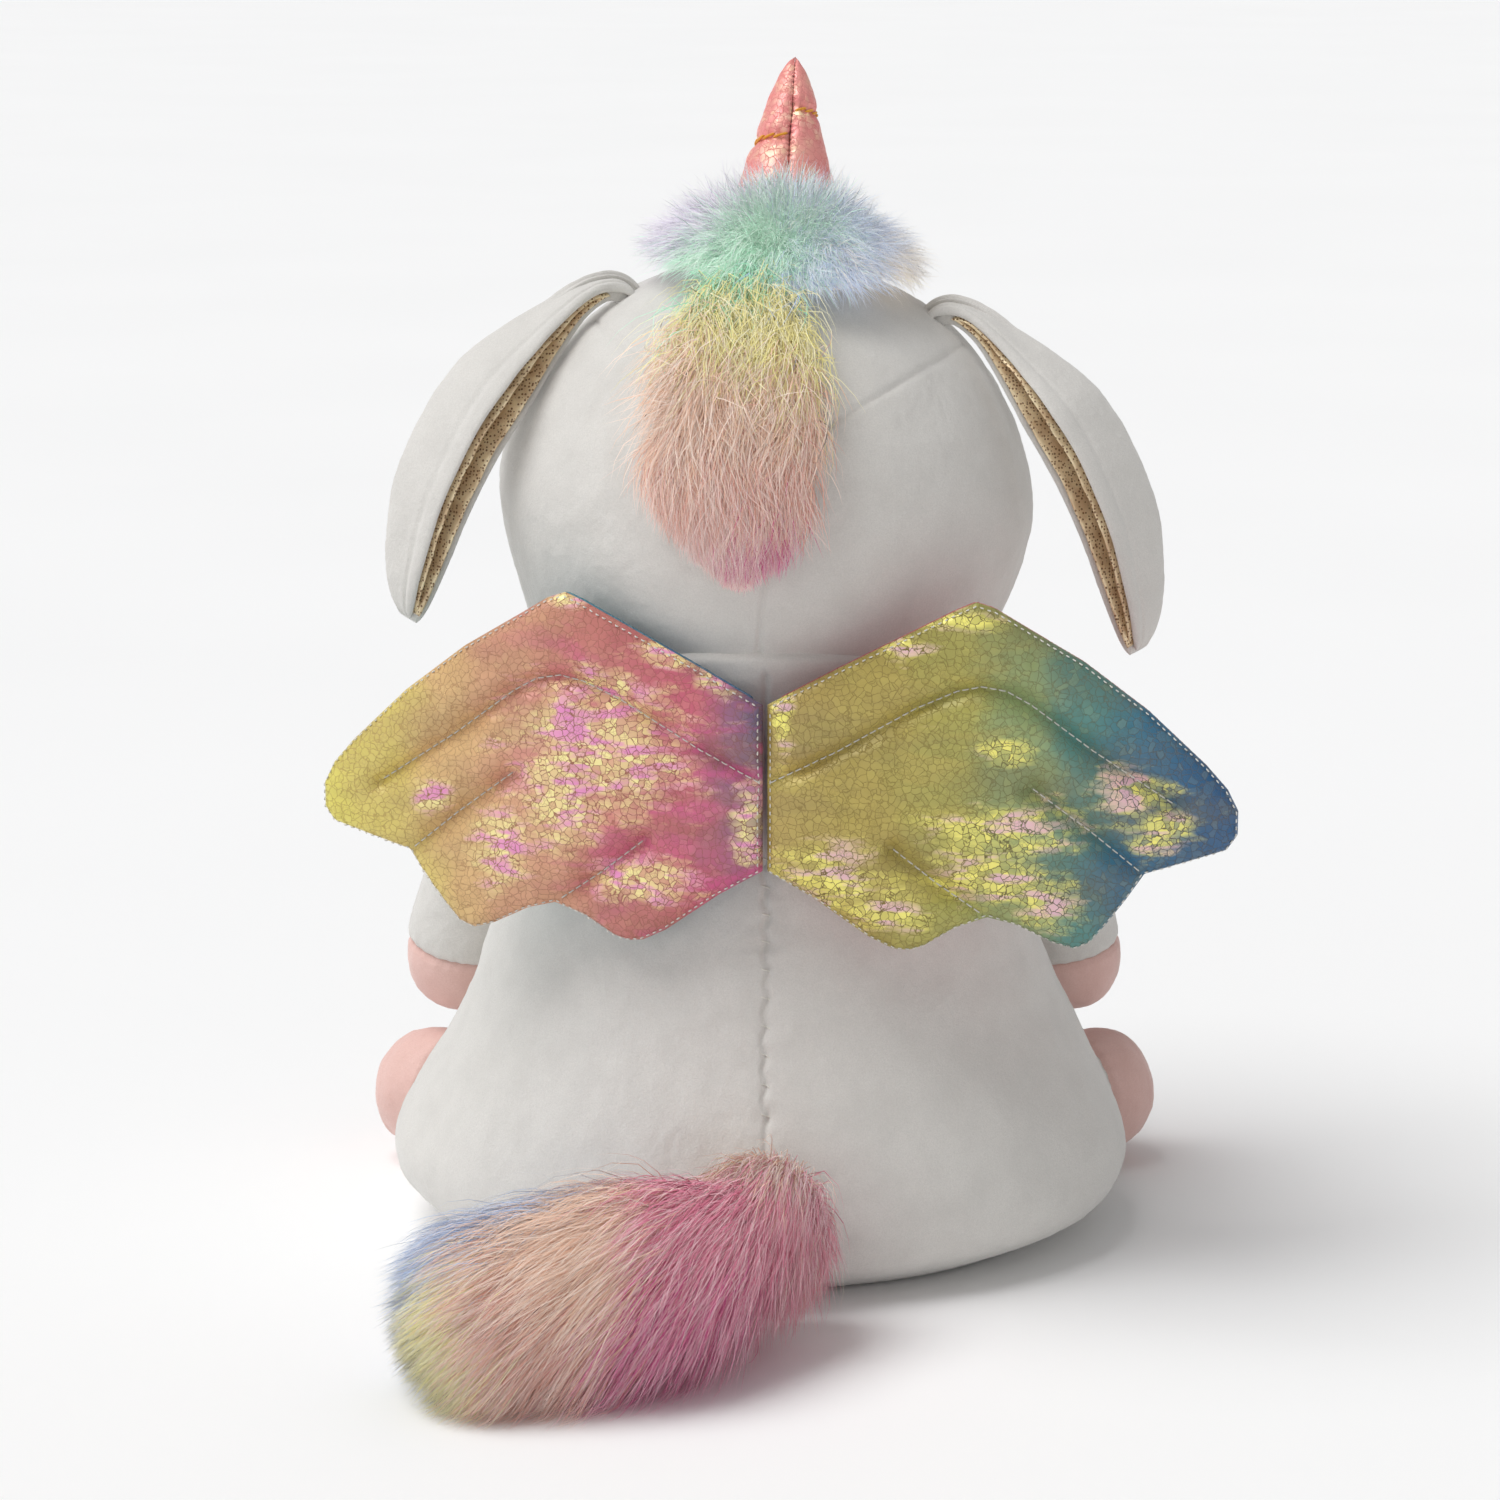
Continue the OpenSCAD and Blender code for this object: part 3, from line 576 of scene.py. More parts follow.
def cords(name, lines, radius, material, sides=6):
    """Thread along many lines (k, n, 3), each a thin closed tube with round ends."""
    points, faces, start = [], [], 0
    for line in lines:
        line = np.asarray(line, float)
        way = unit(np.gradient(line, axis=0))
        ref = np.where(np.abs(way[:, 2:3]) > 0.9, [[1.0, 0, 0]], [[0, 0, 1.0]])
        a = unit(np.cross(way, ref))
        b = np.cross(way, a)
        turns = np.arange(sides) * 2 * math.pi / sides
        taper = np.full(len(line), 1.0)
        taper[0] = taper[-1] = 0.45
        ring = a[:, None] * np.cos(turns)[None, :, None] + b[:, None] * np.sin(turns)[None, :, None]
        grid = line[:, None] + ring * (radius * taper)[:, None, None]
        p, f = closed_tube(grid)
        points.append(p)
        faces += [k + start for k in f]
        start += len(p)
    return new_mesh(name, np.vstack(points), faces, [material])


# ---- Body ----

# A grid turned so that its points crowd round the back seam, which is at a quarter turn
NECK = joints["head_turn"]


def crowded(n, at=0.25, tight=0.45):
    t = np.linspace(-1, 1, n, endpoint=False)
    return (at + 0.5 * (tight * t + (1 - tight) * t**3)) % 1.0


def groove(d, width, depth, lip=0.0):
    """The height of a seam's groove at distance d, with a soft swelling beside it."""
    def bell(wide):
        return np.exp(-((d / (wide * width)) ** 2))

    return -depth * bell(1) + lip * (1 - bell(4)) * bell(14)


def pile(grid, normals, height=0.12 * MM):
    """Plush pile as small rises in the surface itself."""
    return grid + normals * (height * layered(grid, 2.2 * MM, 5, 2))[..., None]


body_low, body_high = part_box("body_back_left")
NECK_Z = body_high.z
BODY_FOOT = body_low.z
NECK_ROLL = 4 * MM
NECK_ARCH, ARCH_TALL, ARCH_SPREAD = 5 * MM, 45 * MM, math.radians(26)
HIP_Z, HIP_TALL, HIP_SPREAD = 34 * MM, 24 * MM, math.radians(34)
HIP_POINTS = [joints["leg_left_swing"], joints["leg_right_swing"]]


def body_coarse():
    n, m = 144, 56
    turns = np.arange(n) / n * 2 * math.pi
    heights = BODY_FOOT + (NECK_Z - BODY_FOOT - 1e-5) * (1 - (1 - np.linspace(0.0003, 1, m)) ** 1.15)
    ways = np.stack([np.cos(turns), np.sin(turns), np.zeros(n)], axis=-1)[None].repeat(m, 0)
    centres = np.zeros((m, n, 3))
    centres[..., 2] = heights[:, None]
    tree = cad_tree("body_back_left", "body_back_right", "body_front")
    grid = cast(tree, centres, ways, 0.3)
    for hip in HIP_POINTS:
        grid[np.linalg.norm(grid - hip, axis=-1) < 0.029] = np.nan
    reach = np.linalg.norm(grid[..., :2], axis=-1)
    grid[reach < 0.055] = np.nan
    bad = np.isnan(grid[..., 0])
    grid = filled_in(grid)
    grid[..., 2] = np.where(bad, heights[:, None], grid[..., 2])
    grid = blur(grid, 1.6, 1.0)
    roll = np.clip((heights - NECK_Z + NECK_ROLL) / NECK_ROLL, 0, 1)
    grid[..., :2] *= (1 - 0.032 * (1 - np.sqrt(1 - roll**2)))[:, None, None]
    for middle, swell in ((0.0, 4.5 * MM), (math.pi, 1.5 * MM)):
        off = np.abs((turns - middle + math.pi) % (2 * math.pi) - math.pi)
        hips = np.exp(-((off / HIP_SPREAD) ** 2)) * np.exp(-(((heights - HIP_Z) / HIP_TALL) ** 2))[:, None]
        grid[..., 0] += swell * hips * math.cos(middle)
    rising = ease((heights - NECK_Z + ARCH_TALL) / ARCH_TALL)[:, None]
    arch = np.exp(-((turns - math.pi / 2) / ARCH_SPREAD) ** 2) * rising
    grid[..., 2] += NECK_ARCH * arch
    grid[..., :2] *= (1 + 0.022 * arch)[..., None]
    return grid, heights


body_grid, _ = body_coarse()
# The rounded foot and the flat base, then the sides, then the lip that tucks under the head
foot = [np.concatenate([body_grid[0, :, :2] * s, np.full((body_grid.shape[1], 1), z)], axis=1)
        for s, z in ((0.12, 0.4 * MM), (0.45, 0.3 * MM), (0.75, 0.25 * MM), (0.92, 0.5 * MM),
                     (0.975, 1.2 * MM))]
lip = [body_grid[-1] * np.array([s, s, 1.0]) + np.array([0, 0, z * MM])
       for s, z in ((0.988, -0.4), (0.97, -2.0), (0.93, -6.0))]
body_rings = np.concatenate([foot, body_grid, lip])
around = body_rings.shape[1]
body_held = held_rings(body_rings, len(foot) + 2, 6, [0, around // 4, around // 2])
body_job = inflate(*closed_tube(body_rings), body_held, 3.0, 2.2 * MM)


def finish_body():
    moved = body_job["moved"][: body_rings.size // 3].reshape(body_rings.shape)
    us = crowded(560)
    m = 190
    vs = np.linspace(0, 1, m)
    grid = resized(body_rings + blur(moved, 0.8, 0.8), us, vs)
    normals = grid_normals(grid)
    x, y, z = grid[..., 0], grid[..., 1], grid[..., 2]
    side = ease((z - 4 * MM) / (8 * MM)) * ease((NECK_Z - 1 * MM - z) / (4 * MM))
    back = (y > 0).astype(float)
    # The back seam: straight above, then closed by hand with stitches that pucker it
    stitch = STITCH_PITCH
    closed = ease((z - CLOSED_FROM) / (4 * MM)) * ease((CLOSED_TO - z) / (4 * MM))
    wander = np.sin(2 * math.pi * z / stitch) + noise(grid, 9 * MM, 6)
    wander = closed * 0.7 * MM * wander * np.exp(-(x / (6 * MM)) ** 2)
    d = np.abs(x + wander)
    rise = back * groove(d, 1.1 * MM, 0.95 * MM + 0.35 * MM * closed, 0.3 * MM)
    pull = np.cos(2 * math.pi * (z - CLOSED_FROM) / stitch)
    rise += back * closed * 0.22 * MM * pull * np.exp(-(x / (5 * MM)) ** 2)
    creases = noise(np.stack([x * 0.35, z, z], -1), 4 * MM, 3)
    rise += back * closed * 0.35 * MM * creases * np.exp(-(x / (11 * MM)) ** 2)
    # The side seams
    edge = np.abs(y)
    rise += (np.abs(x) > 0.05) * groove(edge, 1.1 * MM, 0.8 * MM, 0.25 * MM)
    # The soft unevenness of the filling
    rise += 0.9 * MM * layered(grid, 38 * MM, 21, 3) * side
    rise += 0.28 * MM * layered(grid, 9 * MM, 31, 2) * side
    grid = grid + normals * (rise * side)[..., None]
    grid = pile(grid, normals)
    grid[..., 2] = np.maximum(grid[..., 2], 0.2 * MM)
    points, faces = closed_tube(grid)
    obj = new_mesh("body", points, faces, [white_plush])
    return finish_piece(obj, "torso",
                        ["body_back_left", "body_back_right", "body_front", "base_panel"])


stitch_low, stitch_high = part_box("closing_thread")
STITCHES = 10
STITCH_PITCH = (stitch_high.z - stitch_low.z) / (STITCHES - 1 + 0.25)
CLOSED_FROM, CLOSED_TO = stitch_low.z - 3 * MM, stitch_high.z + 3 * MM


def finish_neck_thread():
    """The drawn thread: round, so that it turns inside the body's rolled edge without touching it."""
    reach = np.linalg.norm(body_grid[-1, :, :2] - NECK[:2], axis=-1).min() - 2.2 * MM
    turns = np.linspace(0, 2 * math.pi, 145)
    ring = np.stack([NECK[0] + reach * np.cos(turns), NECK[1] + reach * np.sin(turns),
                     np.full(len(turns), NECK_Z + 0.1 * MM)], axis=1)
    obj = cords("neck_thread_drawn", [ring], 0.35 * MM, white_thread)
    finish_piece(obj, "neck", ["neck_thread"])


def finish_closing_thread(body):
    """Slanted stitches, half sunk in the seam."""
    graph = bpy.context.evaluated_depsgraph_get()
    tree = BVHTree.FromObject(body, graph)
    lines = []
    for k in range(STITCHES):
        z = stitch_low.z + 2 * MM + k * STITCH_PITCH
        line = []
        for t in np.linspace(-1, 1, 9):
            p = np.array([2.1 * MM * t, 0.3, z + 0.9 * MM * t])
            hit = tree.ray_cast(Vector(p), Vector((0, -1, 0)), 0.3)[0]
            line.append([p[0], hit.y + (0.18 - 0.75 * t * t) * MM, p[2]])
        lines.append(line)
    obj = cords("closing_thread_laced", lines, 0.26 * MM, white_thread)
    finish_piece(obj, "torso", ["closing_thread"])


# ---- Head ----

HEAD_TILT = 4.0
HEAD = turn("y", -HEAD_TILT)
HEAD_AT = NECK
HEAD_R = 88 * MM
SKIN_LOW = -40.0


def head_coarse():
    n, m = 144, 66
    turns = np.arange(n) / n * 2 * math.pi
    lats = np.radians(np.linspace(SKIN_LOW + 3, 85.5, m))
    ways = np.stack([np.cos(lats)[:, None] * np.cos(turns), np.cos(lats)[:, None] * np.sin(turns),
                     np.sin(lats)[:, None] + 0 * turns], axis=-1) @ HEAD.T
    centres = np.zeros_like(ways) + HEAD_AT
    grid = filled_in(cast(cad_tree("head_back_left", "head_back_right", "face_panel"), centres, ways, 0.2))
    return blur(grid, 1.5, 1.5)


head_rings = head_coarse()
head_held = held_rings(head_rings, 14, 0, [head_rings.shape[1] // 4])
head_job = inflate(*closed_tube(head_rings), head_held, 2.5, 1.6 * MM)


def on_ball(lon, lat):
    """A unit direction in the head's own frame."""
    lon, lat = np.radians(lon), np.radians(lat)
    return np.stack([np.cos(lat) * np.cos(lon), np.cos(lat) * np.sin(lon), np.sin(lat)], axis=-1)


# Darts run from the root of each ear to the mane
DARTS = [[(101, 27), (120, 36), (146, 43), (168, 45)], [(79, 27), (60, 36), (34, 43), (12, 45)]]


def finish_head():
    moved = head_job["moved"][: head_rings.size // 3].reshape(head_rings.shape)
    grid = resized(head_rings + blur(moved, 0.8, 0.8), crowded(520), np.linspace(0, 1, 185))
    normals = grid_normals(grid)
    local = (grid - HEAD_AT) @ HEAD
    way = unit(local)
    side = ease((local[..., 2] + 46 * MM) / (10 * MM))
    back = local[..., 1] > 0
    rise = back * groove(np.abs(local[..., 0]), 1.0 * MM, 0.9 * MM, 0.25 * MM)
    flat = way.reshape(-1, 3)
    for dart in DARTS:
        line = through(np.array([on_ball(*p) for p in dart]), np.linspace(0, 1, 60))
        near = np.full(len(flat), 1e9)
        for a, b in zip(line[:-1], line[1:]):
            t = np.clip((flat - a) @ (b - a) / ((b - a) @ (b - a)), 0, 1)
            near = np.minimum(near, np.linalg.norm(flat - a - t[:, None] * (b - a), axis=1))
        rise += groove(near.reshape(way.shape[:2]) * HEAD_R, 1.0 * MM, 0.85 * MM, 0.2 * MM)
    rise += 0.7 * MM * layered(grid, 34 * MM, 41, 3) + 0.22 * MM * layered(grid, 8 * MM, 51, 2)
    grid = pile(grid + normals * (rise * side)[..., None], normals)
    points, faces = closed_tube(grid)
    obj = new_mesh("head", points, faces, [white_plush])
    return finish_piece(obj, "head", ["head_back_left", "head_back_right", "face_panel"])


# ---- Face: a plain muzzle, eyes and embroidery ----

MUZZLE_LAT, MUZZLE_W, MUZZLE_H, MUZZLE_OUT = 4.0, 25.0, 18.0, 20 * MM


def muzzle_point(turns, rise, proud=0.0):
    """A point of the muzzle's dome: turns round it, and 0 at its edge to 1 at its crown."""
    v = np.asarray(rise) * math.pi / 2
    spread = np.cos(v)
    lon = 270 + MUZZLE_W * spread * np.cos(turns)
    lat = MUZZLE_LAT + MUZZLE_H * spread * np.sin(turns)
    r = HEAD_R + 1.5 * MM + MUZZLE_OUT * np.sin(v) ** 0.8 + proud
    return HEAD_AT + (on_ball(lon, lat) * r[..., None]) @ HEAD.T


def finish_face():
    n, m = 160, 70
    turns = np.linspace(0, 2 * math.pi, n, endpoint=False)
    rise = np.concatenate([[0.0], np.linspace(0, 0.985, m)])
    grid = muzzle_point(turns[None] + 0 * rise[:, None], rise[:, None] + 0 * turns[None])
    grid[0] = muzzle_point(turns, 0 * turns, -3.5 * MM)
    normals = grid_normals(grid)
    uneven = 0.4 * MM * layered(grid, 20 * MM, 61, 3)
    grid = pile(grid + normals * uneven[..., None], normals)
    points, faces = closed_tube(grid)
    obj = new_mesh("muzzle", points, faces, [white_plush])
    finish_piece(obj, "head", ["muzzle_panel"])
    nostrils = []
    for a in (38, 142):
        for k in np.linspace(-8, 8, 17):
            half = 0.062 * math.sqrt(1 - (k / 8.6) ** 2)
            arc = np.linspace(0.575 - half, 0.575 + half, 7)
            crown = np.sin(np.linspace(0, math.pi, 7)) * 0.6 * MM
            nostrils.append(muzzle_point(np.full(7, math.radians(a + k)), arc, crown + 0.1 * MM))
    obj = cords("nostrils_stitched", nostrils, 0.3 * MM, pink_thread)
    finish_piece(obj, "head", ["nostril_stitching"])
    mouth = []
    for k in range(30):
        a = np.radians(np.linspace(-143 + k * 3.6, -143 + k * 3.6 + 4.4, 6))
        crown = np.sin(np.linspace(0, math.pi, 6)) * 0.5 * MM
        mouth.append(muzzle_point(a, np.full(6, 0.5), crown + 0.15 * MM))
    obj = cords("mouth_stitched", mouth, 0.45 * MM, pink_thread)
    finish_piece(obj, "head", ["mouth_stitching"])
    for name in ("eye_left", "eye_right"):
        keep_node(name, eye_plastic)


# ---- Horn ----

HORN_LEAN = 20.0
HORN = HEAD @ turn("x", HORN_LEAN)
HORN_FROM = HEAD_AT + HORN @ np.array([0, 0, HEAD_R + 0.6 * MM])
HORN_LEN, HORN_R = 72 * MM, 20 * MM
WAISTS = (0.56, 0.72)


def horn_base(p):
    blush = p.noise(16 * MM, detail=3.0)
    base = p.mix(rgb(240, 144, 142), rgb(250, 176, 164), p.span(blush, 0.35, 0.65))
    # Painted highlights: patches where the foil's cells are brightened as if they caught the light
    painted_highlight = p.span(p.noise(7 * MM, detail=3.0), 0.46, 0.68)
    return base, painted_highlight


def finish_horn():
    p_foil = foil("horn_foil", horn_base, rgb(212, 118, 112), (rgb(255, 220, 180), rgb(255, 196, 182)),
                  cell=2.6, metallic=0.2, roughness=0.38)
    n, m = 128, 150
    for side, name in ((1, "horn_left"), (-1, "horn_right")):
        t = np.linspace(0, 1, m)
        turns = np.linspace(-math.pi / 2, math.pi / 2, n // 2 + 1) + (0 if side > 0 else math.pi)
        waist = WAISTS[0] if side > 0 else WAISTS[1]
        r = HORN_R * (1 - t) * (1 - 0.12 * t) + 4.4 * MM * np.sqrt(np.maximum(0, 1 - t**8))
        pinch = 1 - 0.13 * np.exp(-(((t - waist) / 0.035) ** 2))
        grid = np.zeros((m, len(turns), 3))
        a = turns[None]
        # Each half is a lobe of its own, with the seam sunk between the two
        seam = np.abs(np.cos(a))
        lobe = 0.90 + 0.10 * np.minimum(1, seam / 0.35) ** 0.6
        radius = (r * pinch)[:, None] * lobe
        grid[..., 0] = radius * np.cos(a)
        grid[..., 1] = radius * np.sin(a)
        grid[..., 2] = (t * HORN_LEN)[:, None] - 2.2 * MM * (1 - seam) * ease((t - 0.85) / 0.15)[:, None]
        normals = grid_normals(grid, wrap=False)
        fold = 0.35 * MM * layered(grid, 7 * MM, 71, 2) + 0.12 * MM * noise(grid, 2 * MM, 73)
        pleats = 0.25 * MM * np.cos(a * 17) * np.exp(-(((t[:, None] - waist) / 0.06) ** 2))
        grid = grid + normals * ((fold + pleats) * np.minimum(1, seam * 4))[..., None]
        pricks = np.cos(2 * math.pi * t[:, None] * HORN_LEN / (2.2 * MM)) > 0.2
        holes = np.exp(-(((seam - 0.05) / 0.05) ** 2)) * pricks
        grid = grid - normals * (0.45 * MM * holes)[..., None]
        # The half closes across its flat side, inside the horn
        inner = grid[:, ::-1] * np.array([0.2, 0.92, 1.0])
        ring = np.concatenate([grid, inner[:, 4:-4:4]], axis=1)
        points, faces = closed_tube(ring)
        obj = new_mesh(name + "_foil", HORN_FROM + points @ HORN.T, faces, [p_foil])
        finish_piece(obj, "head", [name])
    lines = []
    for side, waist in zip((1, -1), WAISTS):
        r = HORN_R * (1 - waist) * (1 - 0.12 * waist) + 4.4 * MM
        for k in range(7):
            a0 = -82 + k * 23.5
            a = np.radians(np.linspace(a0, a0 + 26, 9)) + (0 if side > 0 else math.pi)
            slant = np.linspace(-0.7, 0.7, 9) * MM + side * 0.6 * MM * np.sin(a)
            radius = r * 0.885 + 0.35 * MM * np.sin(np.linspace(0, math.pi, 9)) + 0.1 * MM
            line = np.stack([radius * np.cos(a), radius * np.sin(a), waist * HORN_LEN + slant], axis=1)
            lines.append(HORN_FROM + line @ HORN.T)
    obj = cords("horn_wraps", lines, 0.5 * MM, gold_thread)
    finish_piece(obj, "head", ["horn_thread"])


# ---- Ears ----

EAR_SPLAY, EAR_BACK, EAR_LEN, EAR_ARCH = 32.0, 15.0, 134 * MM, 15 * MM
EAR_FROM, EAR_BEND = -0.09, 0.12
EAR_EDGES = np.array([[4, 23], [34, -24], [-9.5, 15]]) * MM
LINING_EDGES = np.array([[1.5, 22.5], [27, -15], [-7, 17.5]]) * MM


def ear_width(t):
    tip = np.sqrt(np.maximum(0, 1 - np.maximum(0, (t - 0.5) / 0.5) ** 2.4))
    return (0.34 + 0.66 * ease(t / 0.42)) * tip + 0.02


def ear_line(v):
    """The middle line, out of the head, over in a tight bend and down: x, z and its section's turn."""
    x, z = EAR_ARCH * 4 * v * (1 - v), -EAR_LEN * v
    t = np.clip((v - EAR_FROM) / (EAR_BEND - EAR_FROM), 0, 1)
    end = np.array([EAR_ARCH * 4 * EAR_BEND * (1 - EAR_BEND), -EAR_LEN * EAR_BEND])
    slope = np.array([EAR_ARCH * 4 * (1 - 2 * EAR_BEND), -EAR_LEN])
    start, middle = np.array([-11, -5]) * MM, end - slope * 20 * MM / np.linalg.norm(slope)
    bend = [(1 - t) ** 2 * start[k] + 2 * t * (1 - t) * middle[k] + t**2 * end[k] for k in (0, 1)]
    way = [(1 - t) * (middle[k] - start[k]) + t * (end[k] - middle[k]) for k in (0, 1)]
    angle = np.arctan2(way[0], -way[1]) - math.atan2(slope[0], -slope[1])
    near = v < EAR_BEND
    return np.where(near, bend[0], x), np.where(near, bend[1], z), np.where(near, angle, 0.0)


def ear_shape(u, v, edges):
    """The folded leaf: u runs from its rear edge round the fold to its front edge, v from root to tip."""
    w = ear_width(np.maximum(v, 0))[..., None]
    rear, fold, front = edges
    p = w * ((1 - u)[..., None] ** 2 * rear + 2 * (u * (1 - u))[..., None] * fold + u[..., None] ** 2 * front)
    x, z, angle = ear_line(v)
    return np.stack([x + p[..., 0] * np.cos(angle), p[..., 1], z + p[..., 0] * np.sin(angle)], axis=-1)


def gold_lining():
    """Pale gold foil cloth with rows of small dark dots."""
    p = Paint("gold_lining", roughness=0.42, specular=0.6)
    dots = p.cells(1.15 * MM, "F1", randomness=0.55).outputs["Distance"]
    # Painted sheen: lighter patches across the gold foil
    sheen = p.noise(6 * MM, detail=3.0)
    base = p.mix(rgb(214, 186, 148), rgb(243, 224, 186), p.span(sheen, 0.4, 0.66))
    ink = p.span(dots, 0.30, 0.36, 1.0, 0.0)
    p.set(Base_Color=p.mix(base, rgb(128, 96, 66), ink))
    p.set(Metallic=p.span(ink, 0, 1, 0.35, 0.0), Roughness=p.span(ink, 0, 1, 0.38, 0.8))
    p.set(Normal=p.bump(p.math("MULTIPLY_ADD", ink, -0.7, p.noise(1.6 * MM)), 0.2 * MM, 0.6))
    return p.material


def ear_sheet(depth, thick, v_from, v_to, lining, n=110, m=230):
    """A closed padded sheet at a depth under the ear's outer face, with rounded edges."""
    v = np.linspace(v_from, v_to, m)
    U, V = np.meshgrid(np.linspace(0, 1, n), v)
    mid = ear_shape(U, V, LINING_EDGES if lining else EAR_EDGES)
    out = unit(np.cross(np.gradient(mid, axis=1), np.gradient(mid, axis=0)))
    out = unit(blur(out, 1.5, 1.5, wrap=False))
    edge = np.minimum(np.minimum(U, 1 - U) / 0.06, np.minimum(V - v[0], v[-1] - V) / 0.03)
    full = np.sqrt(np.maximum(0, 1 - (1 - np.clip(edge, 0, 1)) ** 2))
    slim = np.minimum(1, ear_width(np.maximum(V, 0)) / 0.45)[..., None]
    centre = mid - out * (depth + thick / 2) * slim
    if lining:
        near_rear = np.exp(-U / 0.16) + 0.6 * np.exp(-(1 - U) / 0.12)
        wave = np.sin(V * 52 + 3 * noise(mid, 18 * MM, 81)) * (0.35 + 0.65 * np.exp(-V / 0.3))
        folds = 0.55 * near_rear * (1 + wave) + 0.35 * (1 + layered(mid, 9 * MM, 83, 2))
        centre = centre - out * (folds * MM)[..., None]
    else:
        # Pleats at the root, fading along the ear
        pleat = np.sin(U * 26 + 2 * noise(mid, 12 * MM, 86)) * np.exp(-np.maximum(V, 0) / 0.10)
        centre = centre + out * (0.45 * MM * layered(mid, 16 * MM, 85, 2) + 1.1 * MM * pleat)[..., None]
    half = thick / 2 * (0.12 + 0.88 * full)[..., None] * (0.35 + 0.65 * slim)
    top, low = centre + out * half, centre - out * half
    if not lining:
        seam = groove((U - 0.07) * 60 * MM, 0.8 * MM, 0.45 * MM)
        top = pile(top + out * seam[..., None], out, 0.1 * MM)
    index = np.arange(n * m).reshape(m, n)
    a, b, c, d = index[:-1, :-1], index[:-1, 1:], index[1:, 1:], index[1:, :-1]
    faces_top = np.stack([a, b, c, d], axis=-1).reshape(-1, 4)
    faces_low = np.stack([a, d, c, b], axis=-1).reshape(-1, 4) + n * m
    rim = np.concatenate([index[0, :-1], index[:-1, -1], index[-1, :0:-1], index[:0:-1, 0]])
    k = np.roll(rim, -1)
    faces_rim = np.stack([rim, rim + n * m, k + n * m, k], axis=-1)
    points = np.vstack([top.reshape(-1, 3), low.reshape(-1, 3)])
    return points, [faces_top, faces_low, faces_rim]


def finish_ears():
    gold = gold_lining()
    # The left ear hangs a little closer
    for side, name, closer in ((1, "ear_left", 4.5), (-1, "ear_right", -1.0)):
        root = joints[f"{name}_lift"]
        flip = np.diag([side, 1.0, 1.0])
        place = HEAD @ flip @ turn("z", EAR_BACK) @ turn("y", closer - EAR_SPLAY)
        for part, material, slot, sheet, fill in (
                ("outer", white_plush, "white_plush", (-0.4 * MM, 2.7 * MM, EAR_FROM, 0.988, False), 0.6),
                ("lining", gold, "gold_lining", (0.0, 1.2 * MM, 0.03, 0.965, True), 0.3)):
            points, faces = ear_sheet(*sheet)
            if side < 0:
                faces = [f[:, ::-1] for f in faces]
            obj = new_mesh(f"{name}_{part}_sewn", root + points @ place.T, faces, [material])
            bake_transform(obj)
            finish_piece(obj, None, [f"{name}_{part}"])


# ---- Wings ----

WING_OUTLINE = np.array([
    (-1, 26), (22, 38), (46, 50), (60, 57), (66, 59.5), (72, 57.5), (81, 52), (101, 40), (122, 24),
    (141, 6),
    (148, -2), (151.5, -9), (151.5, -17), (148, -22), (135, -26), (121.5, -30), (116, -38), (110, -46),
    (104, -53), (99, -55), (92, -53), (80, -47), (70.5, -44.5), (60, -48), (50, -54), (45, -55.5),
    (40, -55),
    (32, -51), (14, -38), (-1, -29)], float) * MM
WING_EDGE = np.vstack([WING_OUTLINE, WING_OUTLINE[:1]])
WING_LINES = [np.array(line, float) * MM for line in (
    [(-1, 0), (22, 11), (47, 25), (60, 30.5), (68, 32), (76, 30.5), (84, 26), (104, 11), (131, -7)],
    [(84, -1), (88, -4), (104, -16), (121, -30)],
    [(39, -21), (54, -33), (70.5, -44.5)])]
WING_PUFF = 6.6 * MM
SEAM_SHIFT = 1.6 * MM


def wing_frame(side, name):
    """Matrix from wing coordinates (out, back, up) to the row frame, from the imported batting's own plane."""
    mesh = frame["nodes"][f"{name}_batting"].data
    p = np.array([v.co for v in mesh.vertices])
    q = p[:, :2] - p[:, :2].mean(0)
    along = np.linalg.svd(q, full_matrices=False)[2][0]
    along = along * np.sign(along[0]) * side
    m = np.eye(3)
    m[:2, 0] = along
    back = np.array([-along[1], along[0]]) if side > 0 else np.array([along[1], -along[0]])
    m[:2, 1] = back
    return m


def wing_points(step):
    """Points over the wing with edges that follow the outline and the sewn lines, and their triangles."""
    border = resampled(WING_OUTLINE, step, closed=True)
    lines = [resampled(line[(1 if k == 0 else 0):], step)[1:-1] for k, line in enumerate(WING_LINES)]
    low, high = WING_OUTLINE.min(0), WING_OUTLINE.max(0)
    xs, ys = np.arange(low[0], high[0], step), np.arange(low[1], high[1], step * 0.87)
    gx, gy = np.meshgrid(xs, ys)
    gx = gx + (np.arange(len(ys)) % 2 * step / 2)[:, None]
    p = np.stack([gx.ravel(), gy.ravel()], axis=1)
    p = p[inside(p, border)]
    p = p[to_segments(p, np.vstack([border, border[:1]]))[0] > step * 0.55]
    for line in lines:
        p = p[to_segments(p, line)[0] > step * 0.5]
    points = np.vstack([border, *lines, p])
    n = len(border)
    edges = [(k, (k + 1) % n) for k in range(n)]
    start = n
    for line in lines:
        edges += [(start + k, start + k + 1) for k in range(len(line) - 1)]
        start += len(line)
    made = delaunay_2d_cdt([Vector(q) for q in points], edges, [], 1, 1e-7)
    points = np.array([tuple(v) for v in made[0]])
    faces = np.array([f for f in made[2] if len(f) == 3])
    a, b, c = (points[faces[:, k]] for k in range(3))
    area = (b - a)[:, 0] * (c - a)[:, 1] - (b - a)[:, 1] * (c - a)[:, 0]
    faces[area < 0] = faces[area < 0][:, ::-1]
    faces = faces[inside(points[faces].mean(1), WING_OUTLINE)]
    rim = to_segments(points, WING_EDGE)[0] < step * 0.12
    return points, faces, rim


